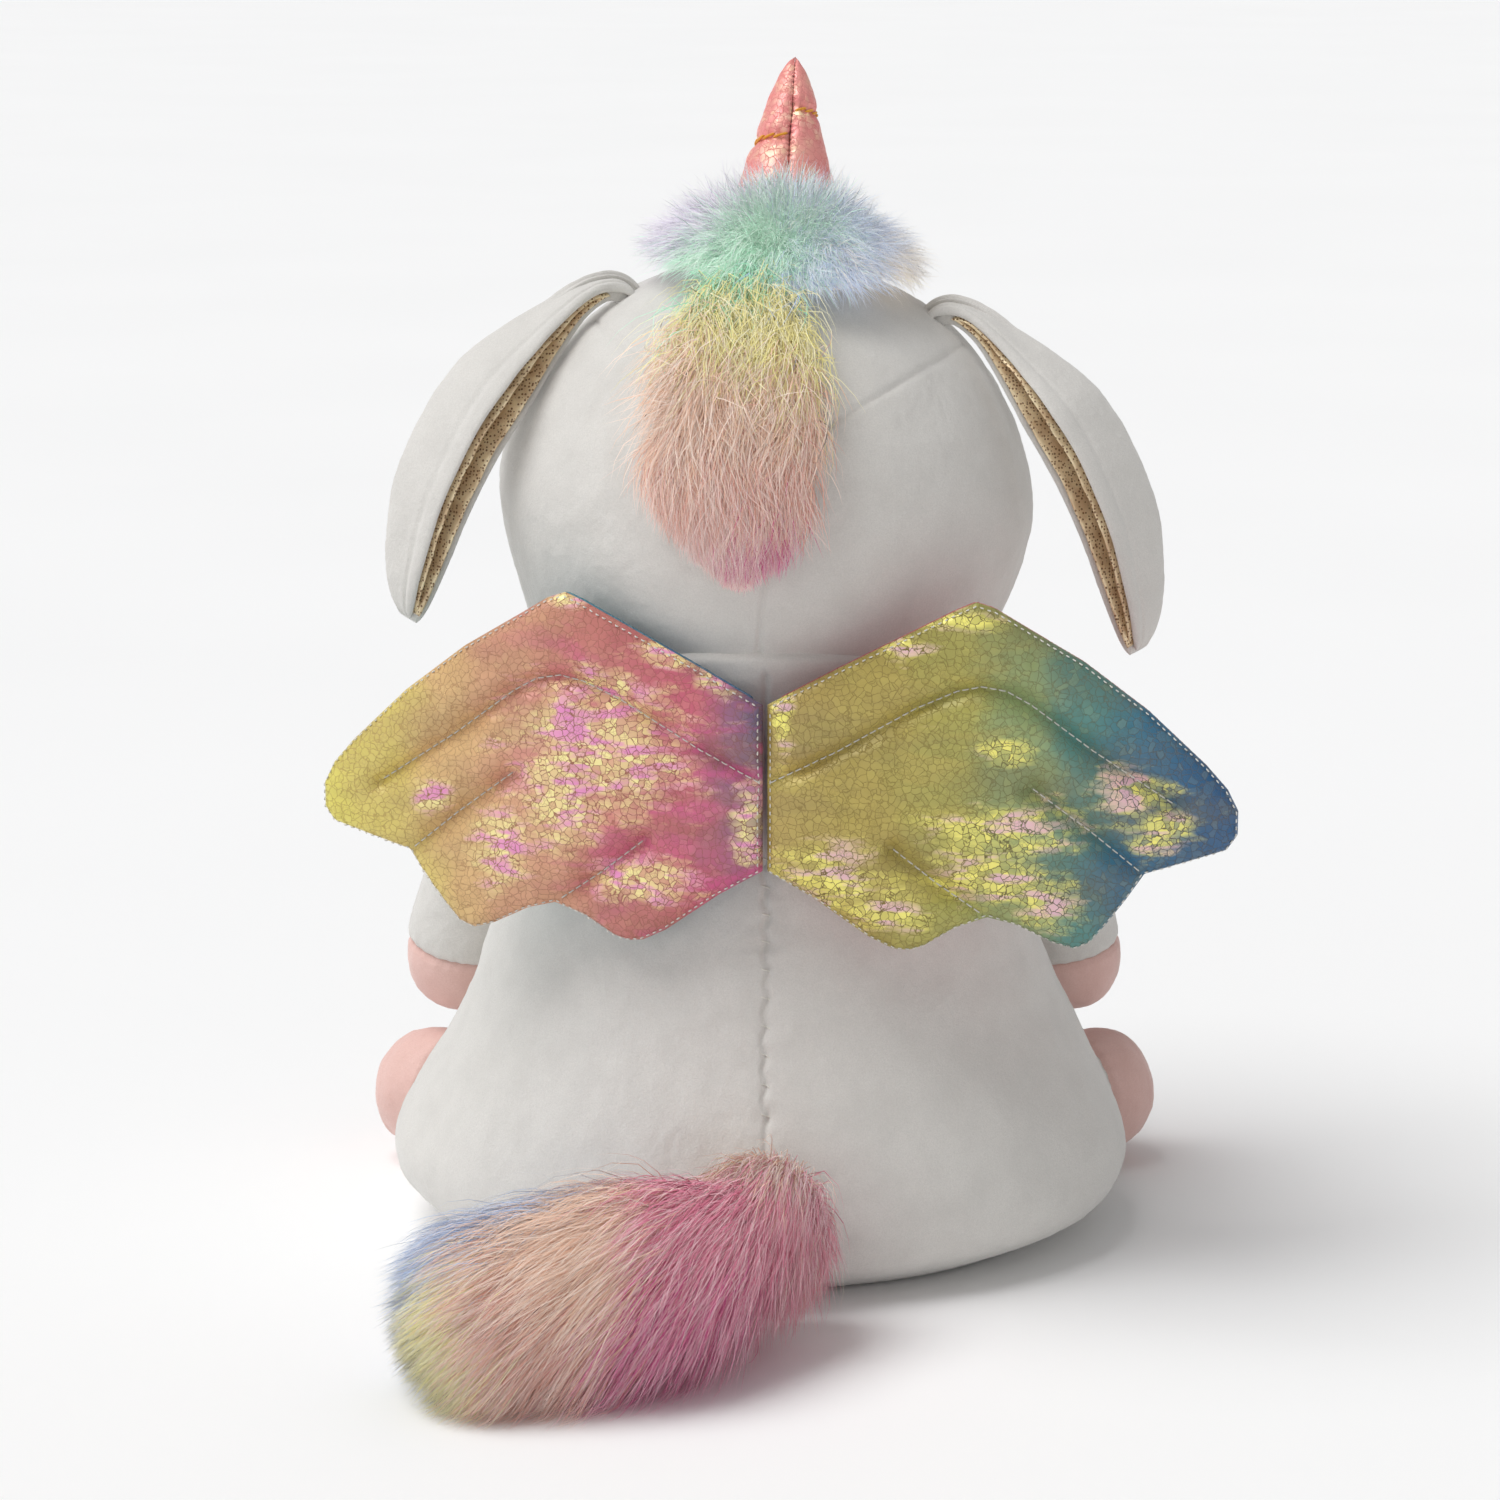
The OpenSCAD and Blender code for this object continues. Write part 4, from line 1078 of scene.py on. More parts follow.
def from_sewn(p):
    return np.min([to_segments(p, line)[0] for line in WING_LINES], axis=0)


def wing_relief(p, seed):
    """How far the padded fabric stands out at each point: less near the outline and the sewn lines."""
    edge, sewn = to_segments(p, WING_EDGE)[0], from_sewn(p)
    dome = np.sqrt(1 - (1 - np.clip(edge / (13 * MM), 0, 1)) ** 2)
    dip = 1 - (1 - np.clip(sewn / (8 * MM), 0, 1)) ** 2
    p3 = np.concatenate([p, np.full((len(p), 1), seed * 0.1)], axis=1)
    folds = layered(p3 * np.array([1.0, 0.55, 1.0]), 13 * MM, 90 + seed, 3)
    creases = np.abs(noise(p3 * np.array([0.5, 1.0, 1.0]), 7 * MM, 95 + seed)) * -1
    h = WING_PUFF * dome * (0.24 + 0.76 * dip)
    flatter = np.minimum(edge / (7 * MM), 1) * np.clip(sewn / (3 * MM), 0.1, 1)
    h += (folds + 0.9 * creases) * MM * flatter
    return np.maximum(h, 0.0), edge, sewn


def wing_sheets(p, rim, side):
    """The back and front sheets. Their seam lies towards the back, so the front fabric wraps round it."""
    back_h, edge, _ = wing_relief(p, 1 if side > 0 else 2)
    front_h, _, _ = wing_relief(p, 3 if side > 0 else 4)
    seam = SEAM_SHIFT * np.exp(-edge / (5 * MM))
    back = np.stack([p[:, 0], back_h + seam, p[:, 1]], axis=1)
    swell = 1.3 * MM * np.sin(np.clip(edge / (4.5 * MM), 0, 1) * math.pi)
    line = WING_EDGE
    step = 0.4 * MM
    gx = to_segments(p + [step, 0], line)[0] - to_segments(p - [step, 0], line)[0]
    gy = to_segments(p + [0, step], line)[0] - to_segments(p - [0, step], line)[0]
    out = -unit(np.stack([gx, gy], axis=1))
    q = p + out * (swell * ~rim * (p[:, 0] > 4 * MM))[:, None]
    front = np.stack([q[:, 0], seam - front_h * 1.0, q[:, 1]], axis=1)
    return back, front


def closed_wing(p, faces, rim, back, front):
    """One closed mesh of both sheets, joined along their rim: points, back faces and front faces."""
    index = np.arange(len(p)) + len(p)
    index[rim] = np.flatnonzero(rim)
    keep = np.vstack([back, front])
    front_faces = index[faces]
    return keep, faces[:, ::-1], front_faces


coarse_p, coarse_f, coarse_rim = wing_points(2.6 * MM)
wing_jobs = {}
for side, name in ((1, "wing_left"), (-1, "wing_right")):
    back, front = wing_sheets(coarse_p, coarse_rim, side)
    points, back_f, front_f = closed_wing(coarse_p, coarse_f, coarse_rim, back, front)
    held = np.tile(coarse_rim | (from_sewn(coarse_p) < 0.5 * MM), 2)
    wing_jobs[name] = inflate(points, [back_f, front_f], held, 3.5, 1.8 * MM, stiffness=10.0)


def spread(coarse, moved, fine):
    """Moves at fine points, from the nearest coarse ones."""
    out = np.zeros((len(fine), 3))
    for start in range(0, len(fine), 2000):
        d = np.linalg.norm(fine[start:start + 2000, None] - coarse[None], axis=-1)
        near = np.argpartition(d, 6, axis=1)[:, :6]
        w = 1 / (np.take_along_axis(d, near, 1) + 0.4 * MM) ** 2
        out[start:start + 2000] = (moved[near] * w[..., None]).sum(1) / w.sum(1)[:, None]
    return out


# Zones of painted highlight, where the foil catches the light, in wing coordinates in mm: place and half sizes
LEFT_PAINTED_HIGHLIGHTS = [(54, 9, 25, 20), (68, -8, 15, 14), (52, 28, 14, 7), (88, -26, 9, 12), (40, -34, 14, 7),
             (112, -11, 6, 5), (14, 36, 6, 7), (28, 43, 10, 5), (66, 58, 10, 3), (4, -14, 5, 12)]
RIGHT_PAINTED_HIGHLIGHTS = [(20, -31, 17, 9), (38, -41, 12, 7), (79, -15, 20, 8), (122, -3, 10, 8), (132, -14, 9, 7),
              (74, -30, 16, 8), (92, -38, 10, 7), (62, 54, 12, 3), (42, 46, 10, 3), (4, 24, 3, 14),
              (78, 12, 9, 4)]


def gradient_foil(name, stops, streak, crack, painted_highlight_colours, painted_highlight_zones, side):
    """Foil cloth whose colours change along the wing, with soft dyed streaks, painted shade towards the top,
    and zones of cells brightened as painted highlights.
    """
    root = joints["wing_left_flap" if side > 0 else "wing_right_flap"]

    def base_of(p):
        out = p.node("ShaderNodeSeparateXYZ", Vector=p.at)
        bend = p.noise(26 * MM, detail=3.0)
        along = p.math("MULTIPLY_ADD", out.outputs[0], side, -side * root[0])
        along = p.math("MULTIPLY_ADD", out.outputs[2], -0.10, p.math("ADD", along, 0.10 * root[2]))
        along = p.math("MULTIPLY_ADD", p.math("SUBTRACT", bend, 0.5), 0.03, along)
        colour = p.ramp(p.span(along, 0.0, 0.15), stops)
        slant = p.vmath("MULTIPLY", p.at, (0.5, 1.0, 1.7))
        dye = p.noise(17 * MM, at=slant, detail=3.0, distortion=0.5)
        dyed = p.math("MULTIPLY", p.span(dye, 0.50, 0.62), p.span(along, 0.02, 0.10, 0.7, 0.0))
        colour = p.mix(colour, streak, dyed)
        shade = p.noise(30 * MM, at=slant, detail=4.0)
        colour = p.mix(colour, mixed(crack, (0.3, 0.3, 0.2), 0.3), p.span(shade, 0.42, 0.72, 0.0, 0.42))
        # Painted shade: darker towards the top of the wing, where the upper puffs turn away from the light
        colour = p.mix(colour, crack, p.span(out.outputs[2], root[2] + 24 * MM, root[2] + 44 * MM, 0.0, 0.22))
        # Painted highlights: zones round the listed places, joined by softer patches, where the cells are
        # brightened
        painted_lit = 0.0
        for u, w, wide, high in painted_highlight_zones if painted_highlight_zones else []:
            centre = (root[0] + side * u * MM * 0.96, 0.0, root[2] + w * MM)
            per_size = (1 / (wide * MM), 0.0, 1 / (high * MM))
            away = p.vmath("MULTIPLY", p.vmath("SUBTRACT", p.at, centre), per_size)
            painted_lit = p.math("MAXIMUM", p.span(p.vmath("LENGTH", away, out=1), 0.1, 2.0, 1.0, 0.0), painted_lit)
        patch = p.noise(8 * MM, at=slant, detail=3.0, rough=0.6)
        painted_highlight = p.span(p.math("MULTIPLY_ADD", p.math("SUBTRACT", patch, 0.5), 1.5, painted_lit), 0.28, 0.78)
        return colour, painted_highlight

    return foil(name, base_of, crack, painted_highlight_colours)


def finish_wings():
    left_back = gradient_foil("rose_foil", [
        (0.0, rgb(112, 98, 132)), (0.05, rgb(152, 100, 132)), (0.15, rgb(206, 98, 122)),
        (0.34, rgb(214, 130, 126)),
        (0.50, rgb(226, 168, 136)), (0.68, rgb(226, 186, 130)), (0.84, rgb(228, 208, 116)),
        (1.0, rgb(234, 226, 104))],
        rgb(226, 92, 156), rgb(150, 100, 70), (rgb(255, 240, 166), rgb(240, 140, 210)), LEFT_PAINTED_HIGHLIGHTS, 1)
    right_back = gradient_foil("olive_foil", [
        (0.0, rgb(196, 170, 96)), (0.22, rgb(190, 170, 88)), (0.38, rgb(182, 176, 90)),
        (0.52, rgb(148, 166, 112)),
        (0.66, rgb(88, 140, 132)), (0.82, rgb(48, 108, 142)), (1.0, rgb(42, 92, 138))],
        rgb(206, 186, 96), rgb(112, 92, 50), (rgb(255, 246, 130), rgb(240, 190, 212)), RIGHT_PAINTED_HIGHLIGHTS, -1)
    teal = gradient_foil("teal_foil", [
        (0.0, rgb(70, 120, 160)), (0.5, rgb(64, 150, 168)), (1.0, rgb(120, 180, 150))],
        rgb(60, 110, 170), rgb(48, 84, 96), (rgb(190, 245, 235), rgb(200, 190, 240)), LEFT_PAINTED_HIGHLIGHTS[:4], 1)
    red = gradient_foil("red_foil", [
        (0.0, rgb(214, 84, 92)), (0.5, rgb(224, 92, 104)), (1.0, rgb(226, 140, 110))],
        rgb(214, 70, 120), rgb(150, 70, 66), (rgb(255, 226, 170), rgb(255, 170, 210)), RIGHT_PAINTED_HIGHLIGHTS[:4], -1)
    p, faces, rim = wing_points(0.95 * MM)
    n = len(p)
    for side, name, back_foil, front_foil, slots in (
            (1, "wing_left", left_back, teal, ("rose_foil", "teal_foil")),
            (-1, "wing_right", right_back, red, ("olive_foil", "red_foil"))):
        m = wing_frame(side, name)
        root = joints[f"{name}_flap"]
        back, front = wing_sheets(p, rim, side)
        moved, half = wing_jobs[name]["moved"], len(coarse_p)
        fade = np.clip(wing_relief(p, 1)[1] / (3 * MM), 0, 1)[:, None]
        back = back + spread(coarse_p, moved[:half], p) * fade
        front_move = moved[half:].copy()
        front_move[coarse_rim] = moved[:half][coarse_rim]
        front = front + spread(coarse_p, front_move, p) * fade

        def placed(q):
            return root + q @ m.T

        flip = side < 0
        for part, sheet, other, material, slot in (
                ("back", back, front, back_foil, slots[0]), ("front", front, back, front_foil, slots[1])):
            # The fabric has a thin inner face too, so that each sheet is a closed solid
            inward = other * 0.12 + sheet * 0.88
            inward[rim] = sheet[rim] + [0, -0.2 * MM if part == "back" else 0.0, 0]
            border = np.flatnonzero(rim)
            order = border[np.argsort(to_segments(p[border], WING_EDGE)[1])]
            outer_f = faces[:, ::-1] if part == "back" else faces
            inner_f = (faces if part == "back" else faces[:, ::-1]) + n
            k = np.roll(order, -1)
            rim_f = np.stack([order, k, k + n, order + n], axis=-1)
            if part == "back":
                rim_f = rim_f[:, ::-1]
            parts = [outer_f, inner_f, rim_f]
            if flip:
                parts = [f[:, ::-1] for f in parts]
            obj = new_mesh(f"{name}_{part}_quilted", placed(np.vstack([sheet, inward])), parts, [material])
            finish_piece(obj, name, [f"{name}_{part}"])
        # Batting: the same form, a little smaller
        inner_back, inner_front = back * 0.84 + front * 0.16, front * 0.84 + back * 0.16
        points, back_f, front_f = closed_wing(p, faces, rim, inner_back, inner_front)
        shrink = np.array([0.985, 1.0, 0.985])
        centre = np.array([70 * MM, 0, 0])
        points = (points - centre) * shrink + centre
        parts = [back_f, front_f]
        if flip:
            parts = [f[:, ::-1] for f in parts]
        obj = new_mesh(f"{name}_wadding", placed(points), parts, [batting])
        finish_piece(obj, name, [f"{name}_batting"])
        # Topstitching: dashes that follow the fabric on both faces
        lines = []
        for line in [*WING_LINES, "outline"]:
            tight = isinstance(line, str)
            if tight:
                path = resampled(WING_OUTLINE, 0.25 * MM, closed=True)
                middle = np.array([70 * MM, 0.0])
                path = path + unit(middle - path) * 0.9 * MM
                length, gap = 6, 10
            else:
                path = resampled(line, 0.25 * MM)
                length, gap = 10, 12
            for start in range(4, len(path) - length - 2, gap):
                dash = path[start:start + length]
                for sheet, sign in ((back, 1), (front, -1)):
                    if tight and sign < 0:
                        continue
                    d = np.linalg.norm(dash[:, None] - p[None], axis=-1)
                    near = d.argmin(1)
                    y = np.interp(np.arange(length), [0, (length - 1) / 2, length - 1],
                                  sheet[near, 1][[0, length // 2, -1]])
                    lift = (0.4 * np.sin(np.linspace(0.15, math.pi - 0.15, length)) + 0.15) * MM
                    lines.append(placed(np.stack([dash[:, 0], y + sign * lift, dash[:, 1]], axis=1)))
        obj = cords(f"{name}_topstitch", lines, 0.24 * MM, white_thread, sides=5)
        finish_piece(obj, name, [f"{name}_stitching"])


# ---- Arms and legs ----

ARM_TURN, ARM_SLOPE = 35.0, 13.0
LEG_TURN = 40.0
LEG_SLIM = 0.94
SOLE_R = 15 * MM


LIMB_TURNS = np.arange(72) / 72 * 2 * math.pi


def limb_ways(angle):
    # Directions round a limb open out at its ends, so that the ends are rounded
    flat = np.cos(angle)[:, None]
    return flat * np.cos(LIMB_TURNS), flat * np.sin(LIMB_TURNS), np.sin(angle)[:, None] + 0 * LIMB_TURNS


def make_limb(side, name, place, centres, ways, slim, cap):
    """A limb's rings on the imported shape, cast in its own frame, and listed to be blown up."""
    root = joints[f"{name}_swing"]
    tree = cad_tree(f"{name}_sleeve", f"{name}_hoof")
    centres = np.repeat((root + centres @ place.T)[:, None], len(LIMB_TURNS), 1)
    grid = blur(filled_in(cast(tree, centres, ways @ place.T, 0.08)), 1.4, 1.0)
    if slim != 1.0:
        grid = root + (grid - root) * slim
    if side < 0:
        grid = grid[:, ::-1]
    points, faces = closed_tube(grid)
    held = np.arange(len(points)) % 36 == 0
    return {"name": name, "grid": grid, "place": place, "root": root,
            "job": inflate(points, faces, held, 3.0, cap)}


def make_arm(side, name):
    place = np.diag([side, 1.0, 1.0]) @ turn("z", -ARM_TURN) @ turn("y", -ARM_SLOPE)
    t = np.linspace(-1, 1, 46)
    angle = np.radians(84) * np.sign(t) * np.maximum(0, (np.abs(t) - 0.72) / 0.28)
    z = np.interp(t, [-1, -0.72, 0.72, 1], [-95 * MM, -95 * MM, 3 * MM, 3 * MM])
    centres = np.stack([21.6 * MM + 0.05 * np.maximum(-z, 0), 0 * z, z], axis=-1)
    return make_limb(side, name, place, centres, np.stack(limb_ways(angle), axis=-1), 1.0, 1.3 * MM)


ARMS = [make_arm(1, "arm_left"), make_arm(-1, "arm_right")]


def make_leg(side, name):
    place = np.diag([side, 1.0, 1.0]) @ turn("z", -LEG_TURN)
    t = np.linspace(-1, 1, 40)
    angle = np.radians(86) * np.sign(t) * np.maximum(0, (np.abs(t) - 0.35) / 0.65)
    x = np.interp(t, [-1, -0.35, 0.35, 1], [0, 0, 19 * MM, 19 * MM])
    centres = np.stack([x, 0 * x, 0 * x], axis=-1)
    y, z, along = limb_ways(angle)
    return make_limb(side, name, place, centres, np.stack([along, y, z], axis=-1), LEG_SLIM, 1.0 * MM)


LEGS = [make_leg(1, "leg_left"), make_leg(-1, "leg_right")]
# The shoulder's boss, in the arm's frame: how far in it reaches, how wide it is, where the inside ends
SHOULDER_TIP, SHOULDER_R, ARM_MIDDLE = -5.3 * MM, 11 * MM, 12 * MM


def finish_limb(part, seam_at, hoof_low, extra_nodes):
    """Splits the limb's rings at the seam into a white sleeve and a pink hoof."""
    name, grid = part["name"], part["grid"]
    moved = part["job"]["moved"][: grid.size // 3].reshape(grid.shape)
    grid = resized(grid + blur(moved, 0.8, 0.8), np.arange(150) / 150, np.linspace(0, 1, 150))
    local = (grid - part["root"]) @ part["place"]
    if hoof_low:
        # The sewn shoulder reaches the body round the joint's axis
        off = np.hypot(local[..., 1], local[..., 2])
        near = np.exp(-(off / SHOULDER_R) ** 4) * (local[..., 0] < ARM_MIDDLE)
        local[..., 0] += near * (SHOULDER_TIP - local[..., 0])
        grid = part["root"] + local @ part["place"].T
    normals = grid_normals(grid)
    along = local[..., 2] if hoof_low else local[..., 0]
    d = along - seam_at
    rise = groove(np.abs(d), 1.3 * MM, 1.3 * MM, 0.4 * MM)
    pucker = np.cos(np.arange(150) / 150 * 2 * math.pi * 26 + 2 * noise(grid, 9 * MM, 7))
    rise += 0.22 * MM * pucker * np.exp(-np.abs(d) / (3.5 * MM))
    rise += 0.55 * MM * layered(grid, 22 * MM, 14, 3) + 0.2 * MM * layered(grid, 7 * MM, 15, 2)
    if not hoof_low:
        off = np.hypot(local[..., 1], local[..., 2]) - SOLE_R
        rise += (along > 30 * MM) * groove(off, 1.0 * MM, 0.9 * MM, 0.3 * MM)
    grid = pile(grid + normals * rise[..., None], normals)
    middle = grid.mean(axis=(0, 1))
    rings = grid.mean(axis=1, keepdims=True)
    inner = rings + (grid - rings) * 0.86
    points, faces = closed_tube(middle + (inner - middle) * 0.95)
    obj = new_mesh(f"{name}_filling", points, faces, [stuffing])
    finish_piece(obj, name, [f"{name}_stuffing"])
    cut = int(np.argmin(np.abs(along.mean(1) - seam_at)))
    lower, upper = grid[: cut + 1], grid[cut:]
    hoof, sleeve = (lower, upper) if hoof_low else (upper, lower)
    for rings, what, material, slot, nodes in (
            (sleeve, "sleeve", white_plush, "white_plush", [f"{name}_sleeve"]),
            (hoof, "hoof", pink_plush, "pink_plush", [f"{name}_hoof", *extra_nodes])):
        points, faces = closed_tube(rings)
        obj = new_mesh(f"{name}_{what}_padded", points, faces, [material])
        finish_piece(obj, name, nodes)


# ---- Fur ----

FUR_STEPS = 5


def fur_palette(prefix, colours, painted_glow):
    """One plain material for each tint of fur, with a faint painted glow."""
    made = []
    for k, c in enumerate(colours):
        p = Paint(f"{prefix}_{k}", roughness=0.62, sheen=0.5, sheen_rough=0.35, specular=0.25)
        p.set(Base_Color=(*c, 1.0), Emission_Color=(*c, 1.0))
        # A faint painted glow that stands in for the light that scatters from hair to hair
        p.shader.inputs["Emission Strength"].default_value = painted_glow
        made.append(p.material)
    return made


def mixed(a, b, share):
    return tuple(x + (y - x) * share for x, y in zip(a, b))


def tints(colours):
    """Each colour in a deep, a middle and a pale tint."""
    out = []
    for c in colours:
        out += [mixed(c, (0.35, 0.2, 0.2), 0.10), c, mixed(c, (1.0, 0.97, 0.93), 0.42)]
    return out


def strands(name, roots, normals, start_way, end_way, length, width, colour, palette, clumps=0, clump=0.5,
            push=None, swirl=0.25, seed=3):
    """Tapered hairs as thin ribbons. colour holds a base colour's number for each hair."""
    r = np.random.default_rng(seed)
    count = len(roots)
    points = np.zeros((FUR_STEPS + 1, count, 3))
    points[0] = roots
    a = unit(start_way + r.normal(0, swirl, (count, 3)))
    b = unit(end_way + r.normal(0, swirl, (count, 3)))
    for k in range(FUR_STEPS):
        s = (k + 0.5) / FUR_STEPS
        way = unit(a * (1 - s) ** 1.3 + b * (1 - (1 - s) ** 1.3))
        points[k + 1] = points[k] + way * (length / FUR_STEPS)[:, None]
        points[k + 1] += layered(points[k + 1] + seed, 9 * MM, seed, 2)[:, None] * a[:, [1, 2, 0]] * 0.5 * MM
        if push is not None:
            points[k + 1] = push(points[k + 1], (k + 1) / FUR_STEPS)
    if clumps:
        heads = r.choice(count, clumps, replace=False)
        near = np.empty(count, int)
        for start in range(0, count, 4000):
            d = np.linalg.norm(roots[start:start + 4000, None] - roots[heads][None], axis=-1)
            near[start:start + 4000] = d.argmin(1)
        strength = clump * r.uniform(0.4, 1.0, count)
        for k in range(1, FUR_STEPS + 1):
            share = strength * (k / FUR_STEPS) ** 1.4
            target = points[k][heads][near]
            points[k] += (target - points[k]) * share[:, None]
    across = unit(np.cross(np.gradient(points, axis=0), normals[None] + r.normal(0, 0.35, (count, 3))[None]))
    profile = np.array([0.9, 1.0, 0.9, 0.7, 0.42, 0.06])
    half = across * (width[None, :] * profile[:, None] / 2)[..., None]
    mesh_points = np.stack([points - half, points + half], axis=2)  # step, hair, side
    index = np.arange(mesh_points.size // 3).reshape(FUR_STEPS + 1, count, 2)
    faces = np.stack([index[:-1, :, 0], index[:-1, :, 1], index[1:, :, 1], index[1:, :, 0]], axis=-1)
    tone = r.integers(0, 3, count)
    tip = np.minimum(tone + 1, 2)
    steps = np.arange(FUR_STEPS)[:, None]
    root_tone = np.maximum(tone - 1, 0)
    tones = np.where(steps < 1, root_tone[None], np.where(steps < 3, tone[None], tip[None]))
    indices = colour[None] * 3 + tones
    obj = new_mesh(name, mesh_points.reshape(-1, 3), faces.reshape(-1, 4), palette, indices.ravel())
    shade = unit(np.repeat(normals[None], FUR_STEPS + 1, 0) + 0.25 * r.normal(0, 1, (1, count, 3)))
    vertex_normals = np.repeat(shade[:, :, None], 2, axis=2).reshape(-1, 3)
    obj.data.normals_split_custom_set_from_vertices(vertex_normals.astype(np.float32).tolist())
    return obj


def nearest_colour(p, spots, seed, blur_mm=6.0):
    """The number of the colour whose spot is nearest to each point, with the borders blurred."""
    r = np.random.default_rng(seed)
    q = p + r.normal(0, blur_mm * MM, p.shape) + 6 * MM * layered(p, 16 * MM, seed, 2)[:, None]
    d = np.linalg.norm(q[:, None] - np.array([s[0] for s in spots])[None] * MM, axis=-1)
    d = d * np.array([s[2] for s in spots])[None]
    return np.array([s[1] for s in spots])[d.argmin(1)]


LAVENDER, MINT, SKY = rgb(214, 202, 232), rgb(166, 232, 196), rgb(184, 204, 238)
CREAM, YELLOW = rgb(246, 230, 208), rgb(246, 236, 164)
PEACH, SALMON, ROSE = rgb(244, 208, 184), rgb(230, 176, 160), rgb(232, 142, 168)
MAGENTA, BLUSH = rgb(216, 98, 152), rgb(242, 206, 200)
MANE_COLOURS = [LAVENDER, MINT, SKY, CREAM, YELLOW, PEACH, SALMON, MAGENTA, BLUSH]
TAIL_COLOURS = [ROSE, MAGENTA, PEACH, YELLOW, SKY, LAVENDER, SALMON, CREAM]


def away_from_head(p, share, gap=1.2 * MM):
    local = (p - HEAD_AT) @ HEAD
    r = np.linalg.norm(local, axis=1)
    low = HEAD_R * 1.01 + gap
    local *= np.maximum(1, low / np.maximum(r, 1e-6))[:, None]
    return HEAD_AT + local @ HEAD.T


def fur_spot(centre, size, share_across, share_along):
    """Directions on the head inside a pad of fur, from shares of its half sizes."""
    across = size[0] * share_across
    a = np.radians(centre[1] + size[1] * share_along)
    lon = np.radians(across + centre[0])
    return np.stack([np.sin(lon), np.cos(lon) * np.sin(a), np.cos(lon) * np.cos(a)], axis=-1)


CREST, CREST_SIZE = (0.0, 4.0), (23.0, 24.0)
NAPE, NAPE_SIZE = (8.0, 66.0), (17.0, 31.0)


def fur_base(name, centre, size, height, palette, colours_of, nodes):
    """The backing cloth and underfur: a low pad that hides the skin between the hairs."""
    n, m = 64, 22
    turns = np.linspace(0, 2 * math.pi, n, endpoint=False)
    v = np.radians(np.concatenate([[0], np.linspace(0, 84, m)]))
    spread_v = np.cos(v)[:, None]
    way = fur_spot(centre, size, spread_v * np.cos(turns), spread_v * np.sin(turns))
    lift = 1.5 * MM + height * np.sin(v)[:, None] ** 0.6 * (1 + 0 * turns)
    lift[0] = -1.0 * MM
    reach = 1 / np.linalg.norm(way / np.array([92, 88, 88]) / MM, axis=-1)
    grid = way * (reach + lift)[..., None]
    normals = grid_normals(grid)
    uneven = 1.2 * MM * layered(grid, 5 * MM, 17, 3) * (np.arange(m + 1) > 1)[:, None]
    grid = grid + normals * uneven[..., None]
    world = HEAD_AT + grid @ HEAD.T
    points, faces = closed_tube(world[:, ::-1])
    count = sum(len(f) for f in faces)
    centres = np.vstack([points[f].mean(1) for f in faces])
    obj = new_mesh(name, points, faces, palette, colours_of((centres - HEAD_AT) @ HEAD) * 3 + 0)
    assert count == len(centres)
    return finish_piece(obj, "head", nodes)


